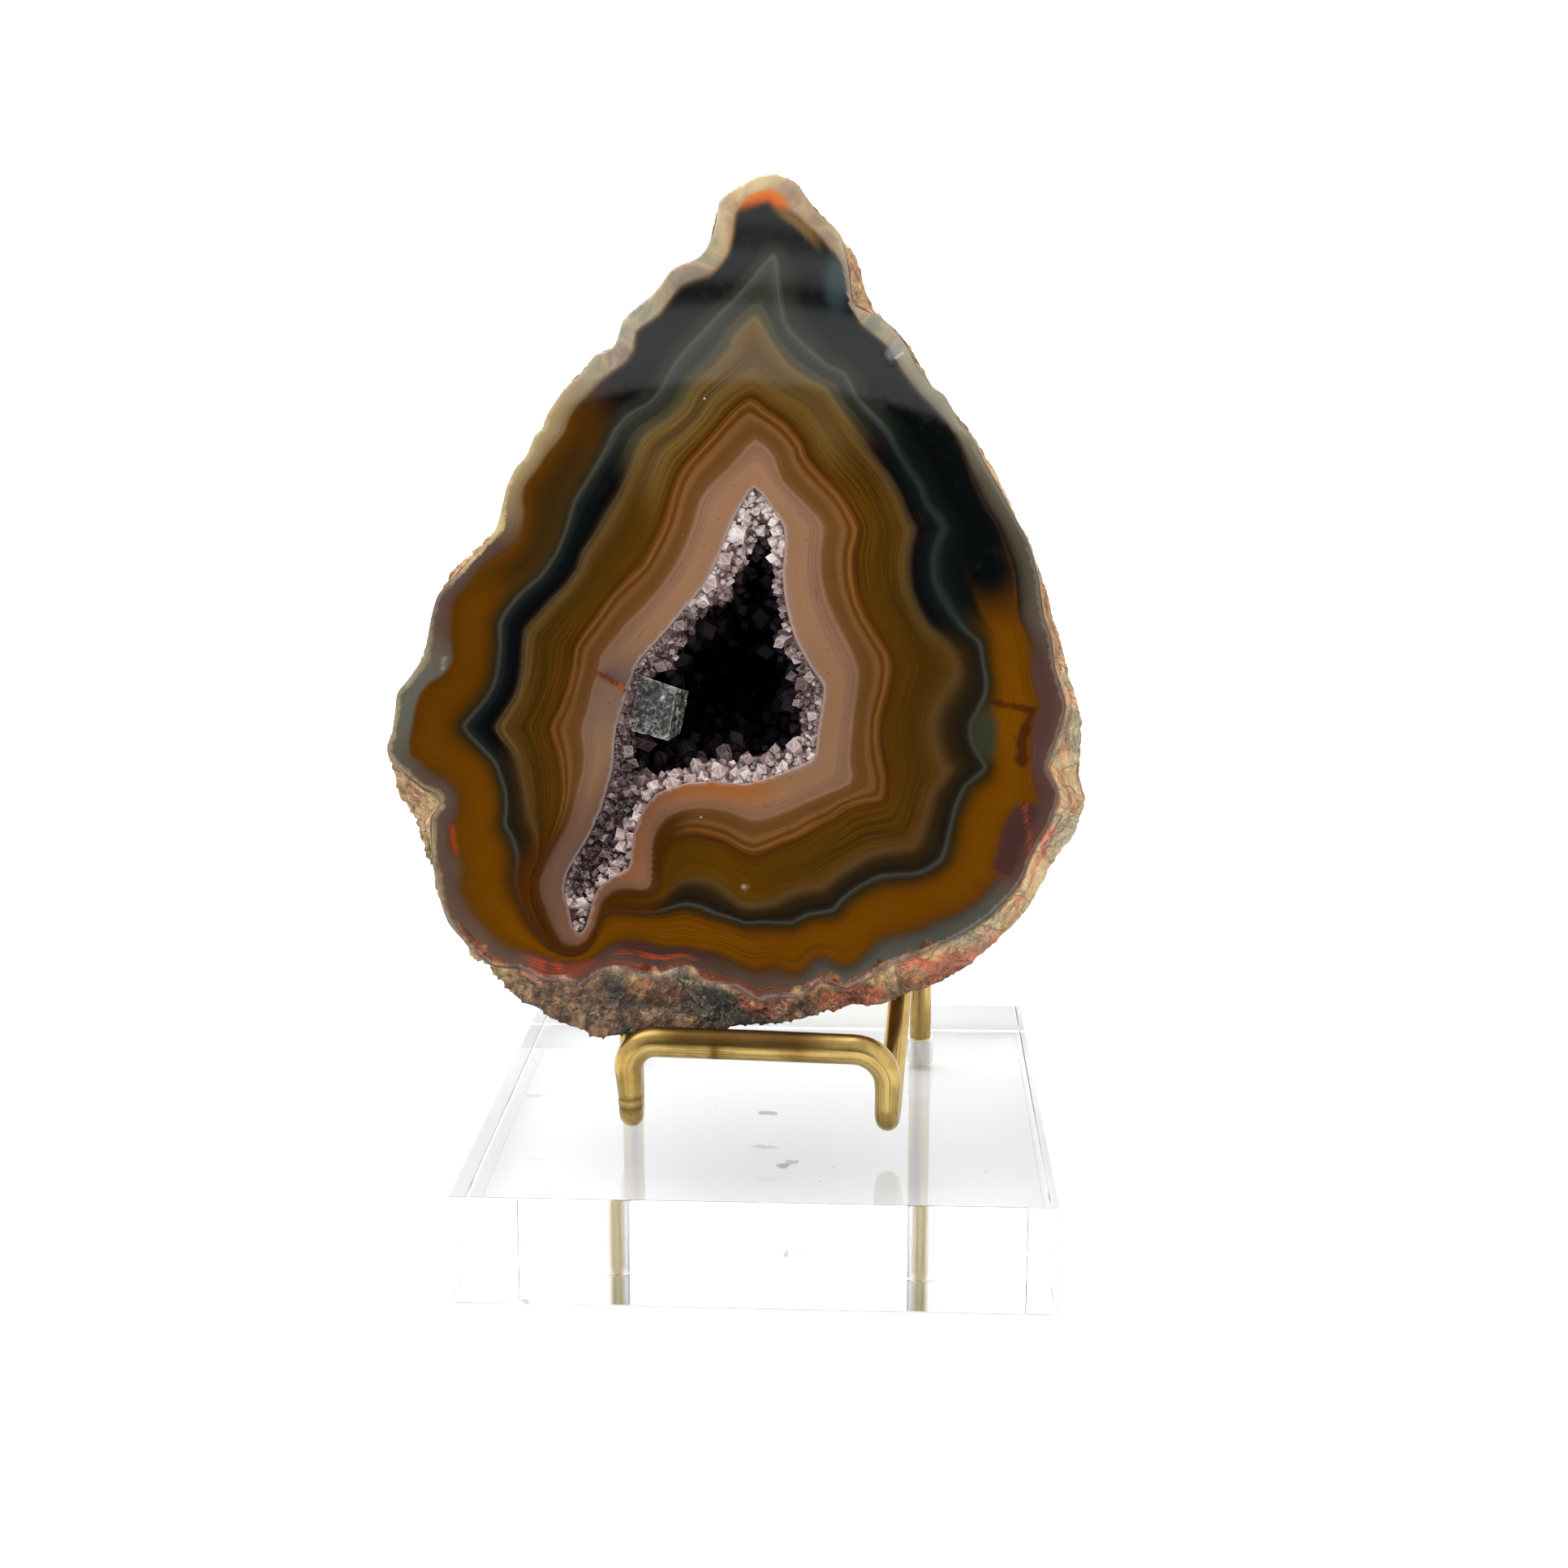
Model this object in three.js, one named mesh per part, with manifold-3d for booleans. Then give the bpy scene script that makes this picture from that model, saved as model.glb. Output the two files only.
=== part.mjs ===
// A polished agate half on its display stand, in millimetres, +Z up.
// The origin is the centre of the acrylic block's underside, and the polished face looks towards -Y.
// The stone leans back in a one-piece brass wire easel whose two ends stand in the clear block.
import * as THREE from "three";
import { mergeVertices } from "three/addons/utils/BufferGeometryUtils.js";
import Module from "manifold-3d";

const wasm = await Module();
wasm.setup();

// ---- driving dimensions ----

const BLOCK_SIDE = 76.2;
const BLOCK_HEIGHT = 14.3;
const BLOCK_CHAMFER = 0.3;
const WIRE_DIAMETER = 3.18;
const HOLE_DIAMETER = 4.0;
const HOLE_FLOOR = 1.0;
const GAP = 0.3;

// Where the wire's legs stand, measured from the block's centre.
const POST_X = 22.0;
const POST_Y = 22.9;
const LEG_X = 16.9;
const LEG_Y = -23.1;
const LIP_LEFT_Z = 29.7;
const LIP_RIGHT_Z = 29.0;

// The lines of the slanted run meet the leg low in front and the post high behind.
const RUN_LOW_Z = 16.2;
const RUN_HIGH_Z = 62.0;
const HAIRPIN_RADIUS = 2.0;
const TOP_BEND_RADIUS = 7.0;
const LIP_BEND_RADIUS_LEFT = 3.6;
const LIP_BEND_RADIUS_RIGHT = 4.6;
const WIRE_SIDES = 10;

// The stone's own frame: x to the right, y up the polished face, z out of the face.
const FACE_LEAN = THREE.MathUtils.degToRad(12);
const FACE_FOOT = new THREE.Vector3(0, -21.2, BLOCK_HEIGHT + 15.0);
const STONE_DEPTH = 30;
const STONE_POINTS = 132;
const DOME_POWER_LEAN = 1.6;
const DOME_POWER_FULL = 2.33;
const DOME_FULL_SIDE = new THREE.Vector2(0.83, 0.56);
const RIND_DEPTH = 1.2;
const RIND_SLOPE = 0.5;
const FOOT_RIND_DEPTH = 0.1;
const FOOT_TOP = 2;
const FOOT_FADE = 7;
const DOME_SMOOTHING = 12;
const DOME_RINGS = [0.985, 0.95, 0.89, 0.8, 0.69, 0.56, 0.42, 0.27, 0.12];
const STONE_CENTRE = new THREE.Vector2(-3, 48);

// The hollow is a deep chamber with a shallow tail at its lower left.
const CHAMBER_CENTRE = new THREE.Vector2(-4, 47);
const CHAMBER_DEPTH = 19;
const TAIL_DEPTH = 5;
const TAIL_CENTRE = new THREE.Vector2(-20.5, 25);
const CHAMBER_SECTIONS = [[3, 1.02], [8, 1], [13, 0.88], [17, 0.66]];
const CHAMBER_FLOOR_SCALE = 0.42;
const TAIL_FLOOR_SCALE = 0.88;
const CRUST_FLOOR = 1.6;
const TAIL_FILL_DEPTH = 2.2;
const QUARTZ_ROOT = 0.4;

// The widest outline of the nodule, seen square to the polished face, clockwise from its tip.
const SILHOUETTE = points([
  [0.5, 113.1], [4, 112], [7.3, 107.7], [11.7, 102.7], [14, 96], [18.6, 91.5], [22.1, 85.6],
  [26.7, 79.8], [30.9, 73], [35.3, 63.9], [37.8, 56.4], [39.8, 49.3], [41.9, 42.3], [41.5, 35.2],
  [42.4, 32.2], [41.1, 27.4], [38.2, 23.5], [35.3, 18], [31.5, 13.5], [26.9, 9.5], [20.7, 6.2],
  [14.8, 4.5], [10, 3.9], [5.3, 2.5], [0.3, 1.6], [-9, 0.6], [-18.7, 0.1], [-21, -0.3],
  [-23.7, 0.8], [-28.7, 2.6], [-32.4, 4.8], [-36, 8], [-39.9, 12.1], [-42.9, 18.7], [-43.6, 21.4],
  [-45.2, 22.8], [-45.6, 27], [-48.4, 31.6], [-49.7, 38.1], [-48.7, 42.7], [-47.6, 46.8],
  [-44.9, 50.2], [-43.7, 55.2], [-42.4, 60.4], [-37.2, 65.2], [-34.6, 68.5], [-33.9, 72.3],
  [-31.3, 76.3], [-28.6, 81.7], [-25.3, 86.3], [-22.4, 89.5], [-19.7, 91], [-18.8, 93.8],
  [-14.5, 97.7], [-12.4, 100.6], [-9.9, 101.7], [-7.5, 104.2], [-6.8, 108.3], [-4.1, 111.2],
  [-1.4, 112.5],
]);

// The edge of the polished face. Rough rock shows outside it, mostly along the right and the bottom.
const POLISHED_EDGE = points([
  [0.5, 112.7], [3.7, 111.6], [6.9, 107.4], [10, 102.6], [10.8, 99.6], [11.3, 95.8], [14.8, 94.2],
  [18, 91], [19.5, 88], [21.6, 85.3], [25.2, 80.5], [28.5, 75.5], [30, 73], [34.2, 65.4],
  [35.4, 61.4], [36.3, 55.6], [37.7, 49.3], [39.2, 44.3], [38.2, 40.2], [36.9, 36.5],
  [38.4, 32.8], [37.3, 29.1], [35, 24.9], [33.6, 21.2], [30.3, 17.4], [26.9, 14.9], [21.1, 12],
  [17.1, 10.8], [13.6, 8.3], [9.4, 7.8], [6.5, 7], [1.5, 6], [-3.1, 7.2], [-8.3, 8.7],
  [-13.3, 8.7], [-18.7, 9.7], [-23.3, 7.3], [-28.3, 7.8], [-34.9, 9.5], [-39, 12.7],
  [-42.1, 18], [-43, 25], [-43, 29], [-42, 31], [-44.5, 32.8], [-48.4, 36], [-49.2, 38.1],
  [-48.2, 42.7], [-46.4, 47], [-44.2, 50.4], [-43, 56], [-41, 59.5], [-36.9, 64.6],
  [-34.2, 68.5], [-33.5, 72.3], [-30.9, 76.3], [-28.2, 81.7], [-24.9, 86.1], [-22.1, 89.1],
  [-19.3, 90.8], [-18.4, 93.6], [-14.2, 97.4], [-12.1, 100.3], [-9.6, 101.4], [-7.1, 104.1],
  [-6.4, 108.2], [-3.9, 110.9], [-1.3, 112.1],
]);

// The rim of the crystal-lined chamber, and of the tail that runs down to the left from it.
const CHAMBER_RIM = points([
  [-1.3, 72.2], [1.7, 68.5], [2.8, 64.3], [2.5, 61.4], [3.4, 55.2], [5.5, 50.2], [8, 46.4],
  [7.3, 41], [6.7, 37], [2.3, 35], [-2.5, 33.6], [-9.5, 33.7], [-13.7, 32.2], [-17.2, 30.8],
  [-20.1, 33.3], [-19.3, 38.5], [-18.5, 43], [-16, 49.8], [-12.8, 53.3], [-9.5, 57.3],
  [-6.2, 62.3], [-4.3, 67.3], [-2.3, 71],
]);
const TAIL_RIM = points([
  [-14.5, 32.6], [-16.8, 26.2], [-17.4, 22.4], [-20.8, 20.3], [-22.2, 17], [-23.5, 13.6],
  [-24.8, 14.6], [-25.8, 19.5], [-25.3, 22], [-22.8, 26.2], [-20.8, 30.8], [-19.9, 34.5],
  [-17, 36],
]);

// The crust's bare wall inside the chamber, on which the crystals stand.
const CHAMBER_WALL = points([
  [-1.1, 69.6], [0.4, 67.8], [1.4, 64.2], [1.2, 61.2], [2.1, 54.9], [4.3, 49.6], [6.6, 46],
  [6, 41.3], [5.5, 38], [1.9, 36.3], [-2.6, 34.9], [-9.6, 35], [-13.6, 33.7], [-17, 32.6],
  [-18.6, 34], [-17.9, 38.3], [-17.2, 42.6], [-14.8, 49.1], [-11.8, 52.4], [-8.4, 56.6],
  [-5, 61.7], [-3, 66.7], [-2, 69],
]);

// The grey cube grown on the chamber's left wall, its eight corners slightly out of true.
const CUBE_FRONT = [[-17.6, 40.5, -1.2], [-12.3, 39.1, -0.8], [-11.2, 46.1, -0.6], [-16.1, 47.8, -0.9]];
const CUBE_BACK = [[-16.2, 41.2, -5.4], [-11, 40.2, -4.4], [-9.9, 45.7, -4.2], [-14.8, 47, -5.2]];

const agateMaterial = new THREE.MeshStandardMaterial({ color: 0x7a4c14, roughness: 0.15 });
const crystalMaterial = new THREE.MeshStandardMaterial({ color: 0x8a7488, roughness: 0.2 });
const brassMaterial = new THREE.MeshStandardMaterial({ color: 0xb08a3c, roughness: 0.3, metalness: 1 });
const acrylicMaterial = new THREE.MeshStandardMaterial({
  color: 0xeef6f6,
  roughness: 0.05,
  transparent: true,
  opacity: 0.3,
});

// ---- helpers ----

function points(pairs) {
  return pairs.map(([x, y]) => new THREE.Vector2(x, y));
}

// A repeatable stream of numbers from 0 to 1.
function numberStream(seed) {
  let state = seed;
  return () => {
    state = (state * 1664525 + 1013904223) % 4294967296;
    return state / 4294967296;
  };
}

function toManifold(geometry) {
  const bare = geometry.clone();
  bare.deleteAttribute("normal");
  bare.deleteAttribute("uv");
  const merged = mergeVertices(bare, 1e-4);
  const triVerts = new Uint32Array(merged.index.array);
  const vertProperties = new Float32Array(merged.attributes.position.array);
  return new wasm.Manifold(new wasm.Mesh({ numProp: 3, vertProperties, triVerts }));
}

function toGeometry(solid) {
  const { vertProperties, triVerts } = solid.getMesh();
  const geometry = new THREE.BufferGeometry();
  geometry.setAttribute("position", new THREE.BufferAttribute(vertProperties, 3));
  geometry.setIndex(new THREE.BufferAttribute(triVerts, 1));
  geometry.computeVertexNormals();
  return geometry;
}

function named(name, geometry, material) {
  const mesh = new THREE.Mesh(geometry, material);
  mesh.name = name;
  return mesh;
}

// Points at equal steps along a closed outline.
function resample(outline, count) {
  const lengths = outline.map((p, i) => p.distanceTo(outline[(i + 1) % outline.length]));
  const total = lengths.reduce((a, b) => a + b);
  const result = [];
  let segment = 0;
  let passed = 0;
  for (let i = 0; i < count; i++) {
    const target = (i * total) / count;
    while (passed + lengths[segment] < target) {
      passed += lengths[segment];
      segment++;
    }
    const next = outline[(segment + 1) % outline.length];
    result.push(outline[segment].clone().lerp(next, (target - passed) / lengths[segment]));
  }
  return result;
}

// Where the ray from centre towards p crosses an outline.
function crossing(outline, centre, p) {
  const ray = p.clone().sub(centre).normalize();
  let reach = 0;
  outline.forEach((a, i) => {
    const side = outline[(i + 1) % outline.length].clone().sub(a);
    const start = a.clone().sub(centre);
    const area = ray.cross(side);
    const along = start.cross(side) / area;
    const across = start.cross(ray) / area;
    if (along > 0 && across >= 0 && across <= 1) reach = Math.max(reach, along);
  });
  return centre.clone().addScaledVector(ray, reach);
}

// A clockwise outline moved inwards by a distance.
function inset(outline, distance) {
  return outline.map((p, i) => {
    const before = outline[(i + outline.length - 1) % outline.length];
    const after = outline[(i + 1) % outline.length];
    const a = p.clone().sub(before).normalize();
    const b = after.clone().sub(p).normalize();
    const inward = new THREE.Vector2(a.y + b.y, -a.x - b.x).normalize();
    const mitre = Math.max(0.5, inward.dot(new THREE.Vector2(a.y, -a.x)));
    return p.clone().addScaledVector(inward, distance / mitre);
  });
}

// A closed solid through rings of clockwise points, from its front cap to its back cap.
function loft(rings) {
  const count = rings[0].length;
  const vertices = rings.flat().flatMap((p) => [p.x, p.y, p.z]);
  const faces = [];
  for (let ring = 0; ring + 1 < rings.length; ring++) {
    for (let i = 0; i < count; i++) {
      const a = ring * count + i;
      const b = ring * count + ((i + 1) % count);
      faces.push(a, b, a + count);
      faces.push(b, b + count, a + count);
    }
  }
  const last = (rings.length - 1) * count;
  for (const [start, facesFront] of [[0, true], [last, false]]) {
    const flat = rings[start / count].map((p) => new THREE.Vector2(p.x, p.y));
    for (const [a, b, c] of THREE.ShapeUtils.triangulateShape(flat, [])) {
      const area = flat[b].clone().sub(flat[a]).cross(flat[c].clone().sub(flat[a]));
      const order = area > 0 === facesFront ? [a, b, c] : [a, c, b];
      faces.push(...order.map((i) => start + i));
    }
  }
  const geometry = new THREE.BufferGeometry();
  geometry.setAttribute("position", new THREE.Float32BufferAttribute(vertices, 3));
  geometry.setIndex(faces);
  return geometry;
}

// An outline with every point drawn towards its neighbours, a number of times.
function smoothed(outline, passes) {
  let result = outline;
  for (let pass = 0; pass < passes; pass++) {
    const last = result;
    result = last.map((p, i) => {
      const before = last[(i + last.length - 1) % last.length];
      const after = last[(i + 1) % last.length];
      return p.clone().multiplyScalar(2).add(before).add(after).divideScalar(4);
    });
  }
  return result;
}

// The outline scaled about a centre and set at a height.
function ringAt(outline, centre, scale, z) {
  return outline.map((p) => {
    const q = p.clone().sub(centre).multiplyScalar(scale).add(centre);
    return new THREE.Vector3(q.x, q.y, z);
  });
}

// ---- the stone ----

// Lumps of the weathered skin, in millimetres.
function skinLumps(p) {
  const broad = Math.sin(p.x * 0.23 + 1.3) * Math.sin(p.y * 0.19 + 0.4) + Math.sin(p.x * 0.13 - p.y * 0.16);
  const fine = Math.sin(p.x * 0.61 + p.y * 0.47) * Math.cos(p.y * 0.55 - p.x * 0.31 + 2.1);
  return 0.8 * broad + 0.5 * fine;
}

function stoneBody() {
  const widest = resample(SILHOUETTE, STONE_POINTS);
  const polished = widest.map((p) => crossing(POLISHED_EDGE, STONE_CENTRE, p));
  // The rind slopes back from the face, except at the foot, which comes forward to the wire's lip.
  const rindDepth = widest.map((p, i) => {
    const sloping = RIND_DEPTH + RIND_SLOPE * p.distanceTo(polished[i]);
    const aboveFoot = THREE.MathUtils.clamp((p.y - FOOT_TOP) / FOOT_FADE, 0, 1);
    return THREE.MathUtils.lerp(FOOT_RIND_DEPTH, sloping, aboveFoot);
  });
  // The back swells full at the upper right and rises more like a cone at the lower left.
  const power = widest.map((p) => {
    const towardsFull = p.clone().sub(STONE_CENTRE).normalize().dot(DOME_FULL_SIDE);
    return THREE.MathUtils.lerp(DOME_POWER_LEAN, DOME_POWER_FULL, (1 + towardsFull) / 2);
  });
  const front = polished.map((p) => new THREE.Vector3(p.x, p.y, 0));
  const brim = widest.map((p, i) => new THREE.Vector3(p.x, p.y, -rindDepth[i]));
  const centre = new THREE.Vector3(STONE_CENTRE.x, STONE_CENTRE.y, -STONE_DEPTH);
  const rings = [front, brim];
  DOME_RINGS.forEach((scale, step) => {
    // The ragged rim gives way to broad lumps towards the back.
    const outline = smoothed(brim, DOME_SMOOTHING * step);
    rings.push(
      outline.map((p, i) => {
        const rise = (1 - scale ** power[i]) ** (1 / power[i]);
        const v = centre.clone().lerp(p, scale);
        v.z = THREE.MathUtils.lerp(p.z, centre.z, rise);
        v.z += skinLumps(v) * rise;
        return v;
      }),
    );
  });
  return toManifold(loft(rings));
}

// The chamber's space behind an outline, from a front height down to a floor.
function chamberSpace(outline, front, floor) {
  const rings = [ringAt(outline, CHAMBER_CENTRE, 1, front)];
  for (const [depth, scale] of CHAMBER_SECTIONS) {
    rings.push(ringAt(outline, CHAMBER_CENTRE, scale, -depth));
  }
  rings.push(ringAt(outline, CHAMBER_CENTRE, CHAMBER_FLOOR_SCALE, -floor));
  return toManifold(loft(rings));
}

function tailSpace(outline, front, floor) {
  const mouth = ringAt(outline, TAIL_CENTRE, 1, front);
  return toManifold(loft([mouth, ringAt(outline, TAIL_CENTRE, TAIL_FLOOR_SCALE, -floor)]));
}

// The whole hollow as a solid, narrowed by a margin.
function hollow(margin, front) {
  const chamber = chamberSpace(inset(CHAMBER_RIM, margin), front, CHAMBER_DEPTH - margin);
  return chamber.add(tailSpace(inset(TAIL_RIM, margin), front, TAIL_DEPTH - margin));
}

// ---- the crystals ----

// A six-sided quartz point standing on base.
function quartzPoint(base, direction, radius, length) {
  const profile = [
    new THREE.Vector2(0, -QUARTZ_ROOT),
    new THREE.Vector2(radius, -QUARTZ_ROOT),
    new THREE.Vector2(radius, length * 0.45),
    new THREE.Vector2(0, length),
  ];
  const point = new THREE.LatheGeometry(profile, 6);
  const up = new THREE.Vector3(0, 1, 0);
  const turn = new THREE.Quaternion().setFromUnitVectors(up, direction.clone().normalize());
  point.applyQuaternion(turn);
  point.translate(base.x, base.y, base.z);
  return toManifold(point);
}

// Rows of points on the chamber's wall, leaning in and a little outwards, and points on its floor.
function chamberPoints(random) {
  const solids = [];
  const rows = [
    { depth: 1.2, count: 28, radius: 1.2, length: 2.5 },
    { depth: 5.2, count: 17, radius: 1.6, length: 3.3 },
    { depth: 10, count: 11, radius: 1.9, length: 3.8 },
  ];
  for (const { depth, count, radius, length } of rows) {
    for (const p of resample(CHAMBER_WALL, count)) {
      const base = new THREE.Vector3(p.x, p.y, -depth - random() * 1.2);
      const inward = new THREE.Vector3(CHAMBER_CENTRE.x - p.x, CHAMBER_CENTRE.y - p.y, 0).normalize();
      inward.x += random() - 0.5;
      inward.y += random() - 0.5;
      inward.z = 0.15 + 0.6 * random();
      const width = radius * (0.8 + 0.4 * random());
      solids.push(quartzPoint(base, inward, width, length * (0.75 + 0.5 * random())));
    }
  }
  for (const [scale, count] of [[0.42, 8], [0.14, 3]]) {
    for (const p of resample(CHAMBER_RIM, count)) {
      const base = p.clone().sub(CHAMBER_CENTRE).multiplyScalar(scale).add(CHAMBER_CENTRE);
      const direction = new THREE.Vector3(random() - 0.5, random() - 0.5, 1);
      const floor = new THREE.Vector3(base.x, base.y, CRUST_FLOOR - CHAMBER_DEPTH);
      solids.push(quartzPoint(floor, direction, 1.6, 3.6));
    }
  }
  return solids;
}

function tailPoints(random) {
  const line = new THREE.CatmullRomCurve3([
    new THREE.Vector3(-17.6, 31.5, 0),
    new THREE.Vector3(-19.6, 26, 0),
    new THREE.Vector3(-21.6, 22, 0),
    new THREE.Vector3(-24, 15.6, 0),
  ]);
  return line.getSpacedPoints(6).flatMap((p, i) => {
    const room = 1.9 - 0.24 * i;
    return [-1, 1].map((side) => {
      const base = new THREE.Vector3(p.x + side * room * 0.6, p.y + 0.6 * side, -TAIL_FILL_DEPTH);
      const direction = new THREE.Vector3(random() - 0.5, random() - 0.3, 1.2);
      return quartzPoint(base, direction, 1.1 - 0.05 * i, 1.9 + 0.4 * random());
    });
  });
}

// A box whose corners are drawn out to the crystal's own.
function cubeCrystal() {
  const box = new THREE.BoxGeometry(2, 2, 2);
  const place = box.getAttribute("position");
  for (let i = 0; i < place.count; i++) {
    const ring = place.getZ(i) > 0 ? CUBE_FRONT : CUBE_BACK;
    const upper = place.getY(i) > 0;
    const right = place.getX(i) > 0;
    place.setXYZ(i, ...ring[upper ? (right ? 2 : 3) : (right ? 1 : 0)]);
  }
  return toManifold(box);
}

// The lining: what fills the hollow, less the open chamber and the tail's dip, with crystals on it.
function crystalCrust() {
  const random = numberStream(7);
  const limits = hollow(GAP, 0);
  const open = chamberSpace(CHAMBER_WALL, 1, CHAMBER_DEPTH - CRUST_FLOOR);
  const dip = tailSpace(inset(TAIL_RIM, 2 * GAP), 1, TAIL_FILL_DEPTH);
  let crust = limits.subtract(open).subtract(dip);
  for (const point of [...chamberPoints(random), ...tailPoints(random), cubeCrystal()]) {
    crust = crust.add(point);
  }
  return crust.intersect(limits);
}

// ---- the wire easel ----

// A curve through stations that crowd where the wire bends.
class WirePath extends THREE.Curve {
  constructor(stations) {
    super();
    this.stations = stations;
  }
  getPoint(t) {
    return this.stations[Math.round(t * (this.stations.length - 1))].clone();
  }
  getPointAt(t) {
    return this.getPoint(t);
  }
  getTangentAt(t) {
    const i = Math.round(t * (this.stations.length - 1));
    const before = this.stations[Math.max(0, i - 1)];
    const after = this.stations[Math.min(this.stations.length - 1, i + 1)];
    const here = this.stations[i];
    const arriving = i === 0 ? after.clone().sub(here) : here.clone().sub(before);
    const leaving = i === this.stations.length - 1 ? arriving : after.clone().sub(here);
    return arriving.normalize().add(leaving.clone().normalize()).normalize();
  }
}

// Stations of a route whose corners are rounded to their own radius.
function roundedRoute(corners) {
  const stations = [corners[0].at];
  for (let i = 1; i + 1 < corners.length; i++) {
    const { at, radius, steps } = corners[i];
    const back = corners[i - 1].at.clone().sub(at).normalize();
    const ahead = corners[i + 1].at.clone().sub(at).normalize();
    const half = back.angleTo(ahead) / 2;
    const bisector = back.clone().add(ahead).normalize();
    const centre = at.clone().addScaledVector(bisector, radius / Math.sin(half));
    const start = at.clone().addScaledVector(back, radius / Math.tan(half)).sub(centre);
    const sweep = Math.PI - 2 * half;
    const axis = back.clone().negate().cross(ahead).normalize();
    for (let k = 0; k <= steps; k++) {
      stations.push(start.clone().applyAxisAngle(axis, (sweep * k) / steps).add(centre));
    }
  }
  stations.push(corners[corners.length - 1].at);
  return stations;
}

function easelGeometry() {
  const at = (x, y, z) => new THREE.Vector3(x, y, z);
  const foot = HOLE_FLOOR + GAP;
  const stations = roundedRoute([
    { at: at(-POST_X, POST_Y, foot) },
    { at: at(-POST_X, POST_Y, RUN_HIGH_Z), radius: TOP_BEND_RADIUS, steps: 8 },
    { at: at(-LEG_X + 0.4, LEG_Y, RUN_LOW_Z), radius: HAIRPIN_RADIUS, steps: 6 },
    { at: at(-LEG_X - 0.2, LEG_Y, LIP_LEFT_Z), radius: LIP_BEND_RADIUS_LEFT, steps: 5 },
    { at: at(LEG_X, LEG_Y, LIP_RIGHT_Z), radius: LIP_BEND_RADIUS_RIGHT, steps: 5 },
    { at: at(LEG_X - 0.2, LEG_Y, RUN_LOW_Z), radius: HAIRPIN_RADIUS, steps: 6 },
    { at: at(POST_X, POST_Y, RUN_HIGH_Z), radius: TOP_BEND_RADIUS, steps: 8 },
    { at: at(POST_X, POST_Y, foot) },
  ]);
  const section = new THREE.Shape();
  for (let i = 0; i < WIRE_SIDES; i++) {
    const angle = (2 * Math.PI * i) / WIRE_SIDES;
    const x = (WIRE_DIAMETER / 2) * Math.cos(angle);
    const y = (WIRE_DIAMETER / 2) * Math.sin(angle);
    if (i === 0) section.moveTo(x, y);
    else section.lineTo(x, y);
  }
  return new THREE.ExtrudeGeometry(section, {
    steps: stations.length - 1,
    extrudePath: new WirePath(stations),
    bevelEnabled: false,
  });
}

// ---- the block ----

function blockSolid() {
  const half = BLOCK_SIDE / 2 - BLOCK_CHAMFER;
  const square = new THREE.Shape(points([[-half, -half], [half, -half], [half, half], [-half, half]]));
  const block = new THREE.ExtrudeGeometry(square, {
    depth: BLOCK_HEIGHT - 2 * BLOCK_CHAMFER,
    bevelThickness: BLOCK_CHAMFER,
    bevelSize: BLOCK_CHAMFER,
    bevelSegments: 1,
  });
  block.translate(0, 0, BLOCK_CHAMFER);
  let solid = toManifold(block);
  for (const side of [-1, 1]) {
    const hole = new THREE.CylinderGeometry(HOLE_DIAMETER / 2, HOLE_DIAMETER / 2, BLOCK_HEIGHT, 24);
    hole.rotateX(Math.PI / 2);
    hole.translate(side * POST_X, POST_Y, HOLE_FLOOR + BLOCK_HEIGHT / 2);
    solid = solid.subtract(toManifold(hole));
  }
  return solid;
}

// ---- the assembly ----

const stone = new THREE.Group();
stone.position.copy(FACE_FOOT);
stone.rotation.x = Math.PI / 2 - FACE_LEAN;
stone.add(
  named("agate", toGeometry(stoneBody().subtract(hollow(0, 1))), agateMaterial),
  named("crystal_crust", toGeometry(crystalCrust()), crystalMaterial),
);

const agateOnStand = new THREE.Group();
agateOnStand.add(
  stone,
  named("brass_easel", easelGeometry(), brassMaterial),
  named("acrylic_base", toGeometry(blockSolid()), acrylicMaterial),
);

export default agateOnStand;
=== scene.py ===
import math

import bmesh
import bpy
import numpy as np
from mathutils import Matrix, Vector, noise
from mathutils.geometry import delaunay_2d_cdt


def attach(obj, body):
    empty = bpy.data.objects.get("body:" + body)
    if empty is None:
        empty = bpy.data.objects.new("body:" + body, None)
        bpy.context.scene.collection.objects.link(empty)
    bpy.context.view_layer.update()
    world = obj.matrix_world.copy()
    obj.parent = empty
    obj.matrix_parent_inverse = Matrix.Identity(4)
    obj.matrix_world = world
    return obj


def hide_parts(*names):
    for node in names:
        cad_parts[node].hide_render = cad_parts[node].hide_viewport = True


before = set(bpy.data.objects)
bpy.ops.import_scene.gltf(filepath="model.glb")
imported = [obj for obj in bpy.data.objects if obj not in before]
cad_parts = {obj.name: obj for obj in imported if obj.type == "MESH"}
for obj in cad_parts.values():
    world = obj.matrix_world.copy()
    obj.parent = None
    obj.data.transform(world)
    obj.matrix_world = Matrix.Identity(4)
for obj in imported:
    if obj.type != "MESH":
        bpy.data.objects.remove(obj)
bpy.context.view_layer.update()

MM = 0.001
random = np.random.default_rng(11)

# ---- the stone's own frame: x right, y up the polished face, z out of it, in millimetres ----

FACE_FOOT = np.array([0, -21.2, 29.3])
LEAN = math.radians(12)
FACE_UP = np.array([0, math.sin(LEAN), math.cos(LEAN)])
FACE_OUT = np.array([0, -math.cos(LEAN), math.sin(LEAN)])
STONE_CENTRE = np.array([-3.0, 48.0])
BAND_CENTRE = np.array([-4.0, 50.0])

# ---- the bands' outlines on the polished face, each inside the last, clockwise from the tip ----
# All but OPENING were read off a photo that had been laid flat on the face with a millimetre grid.

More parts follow.
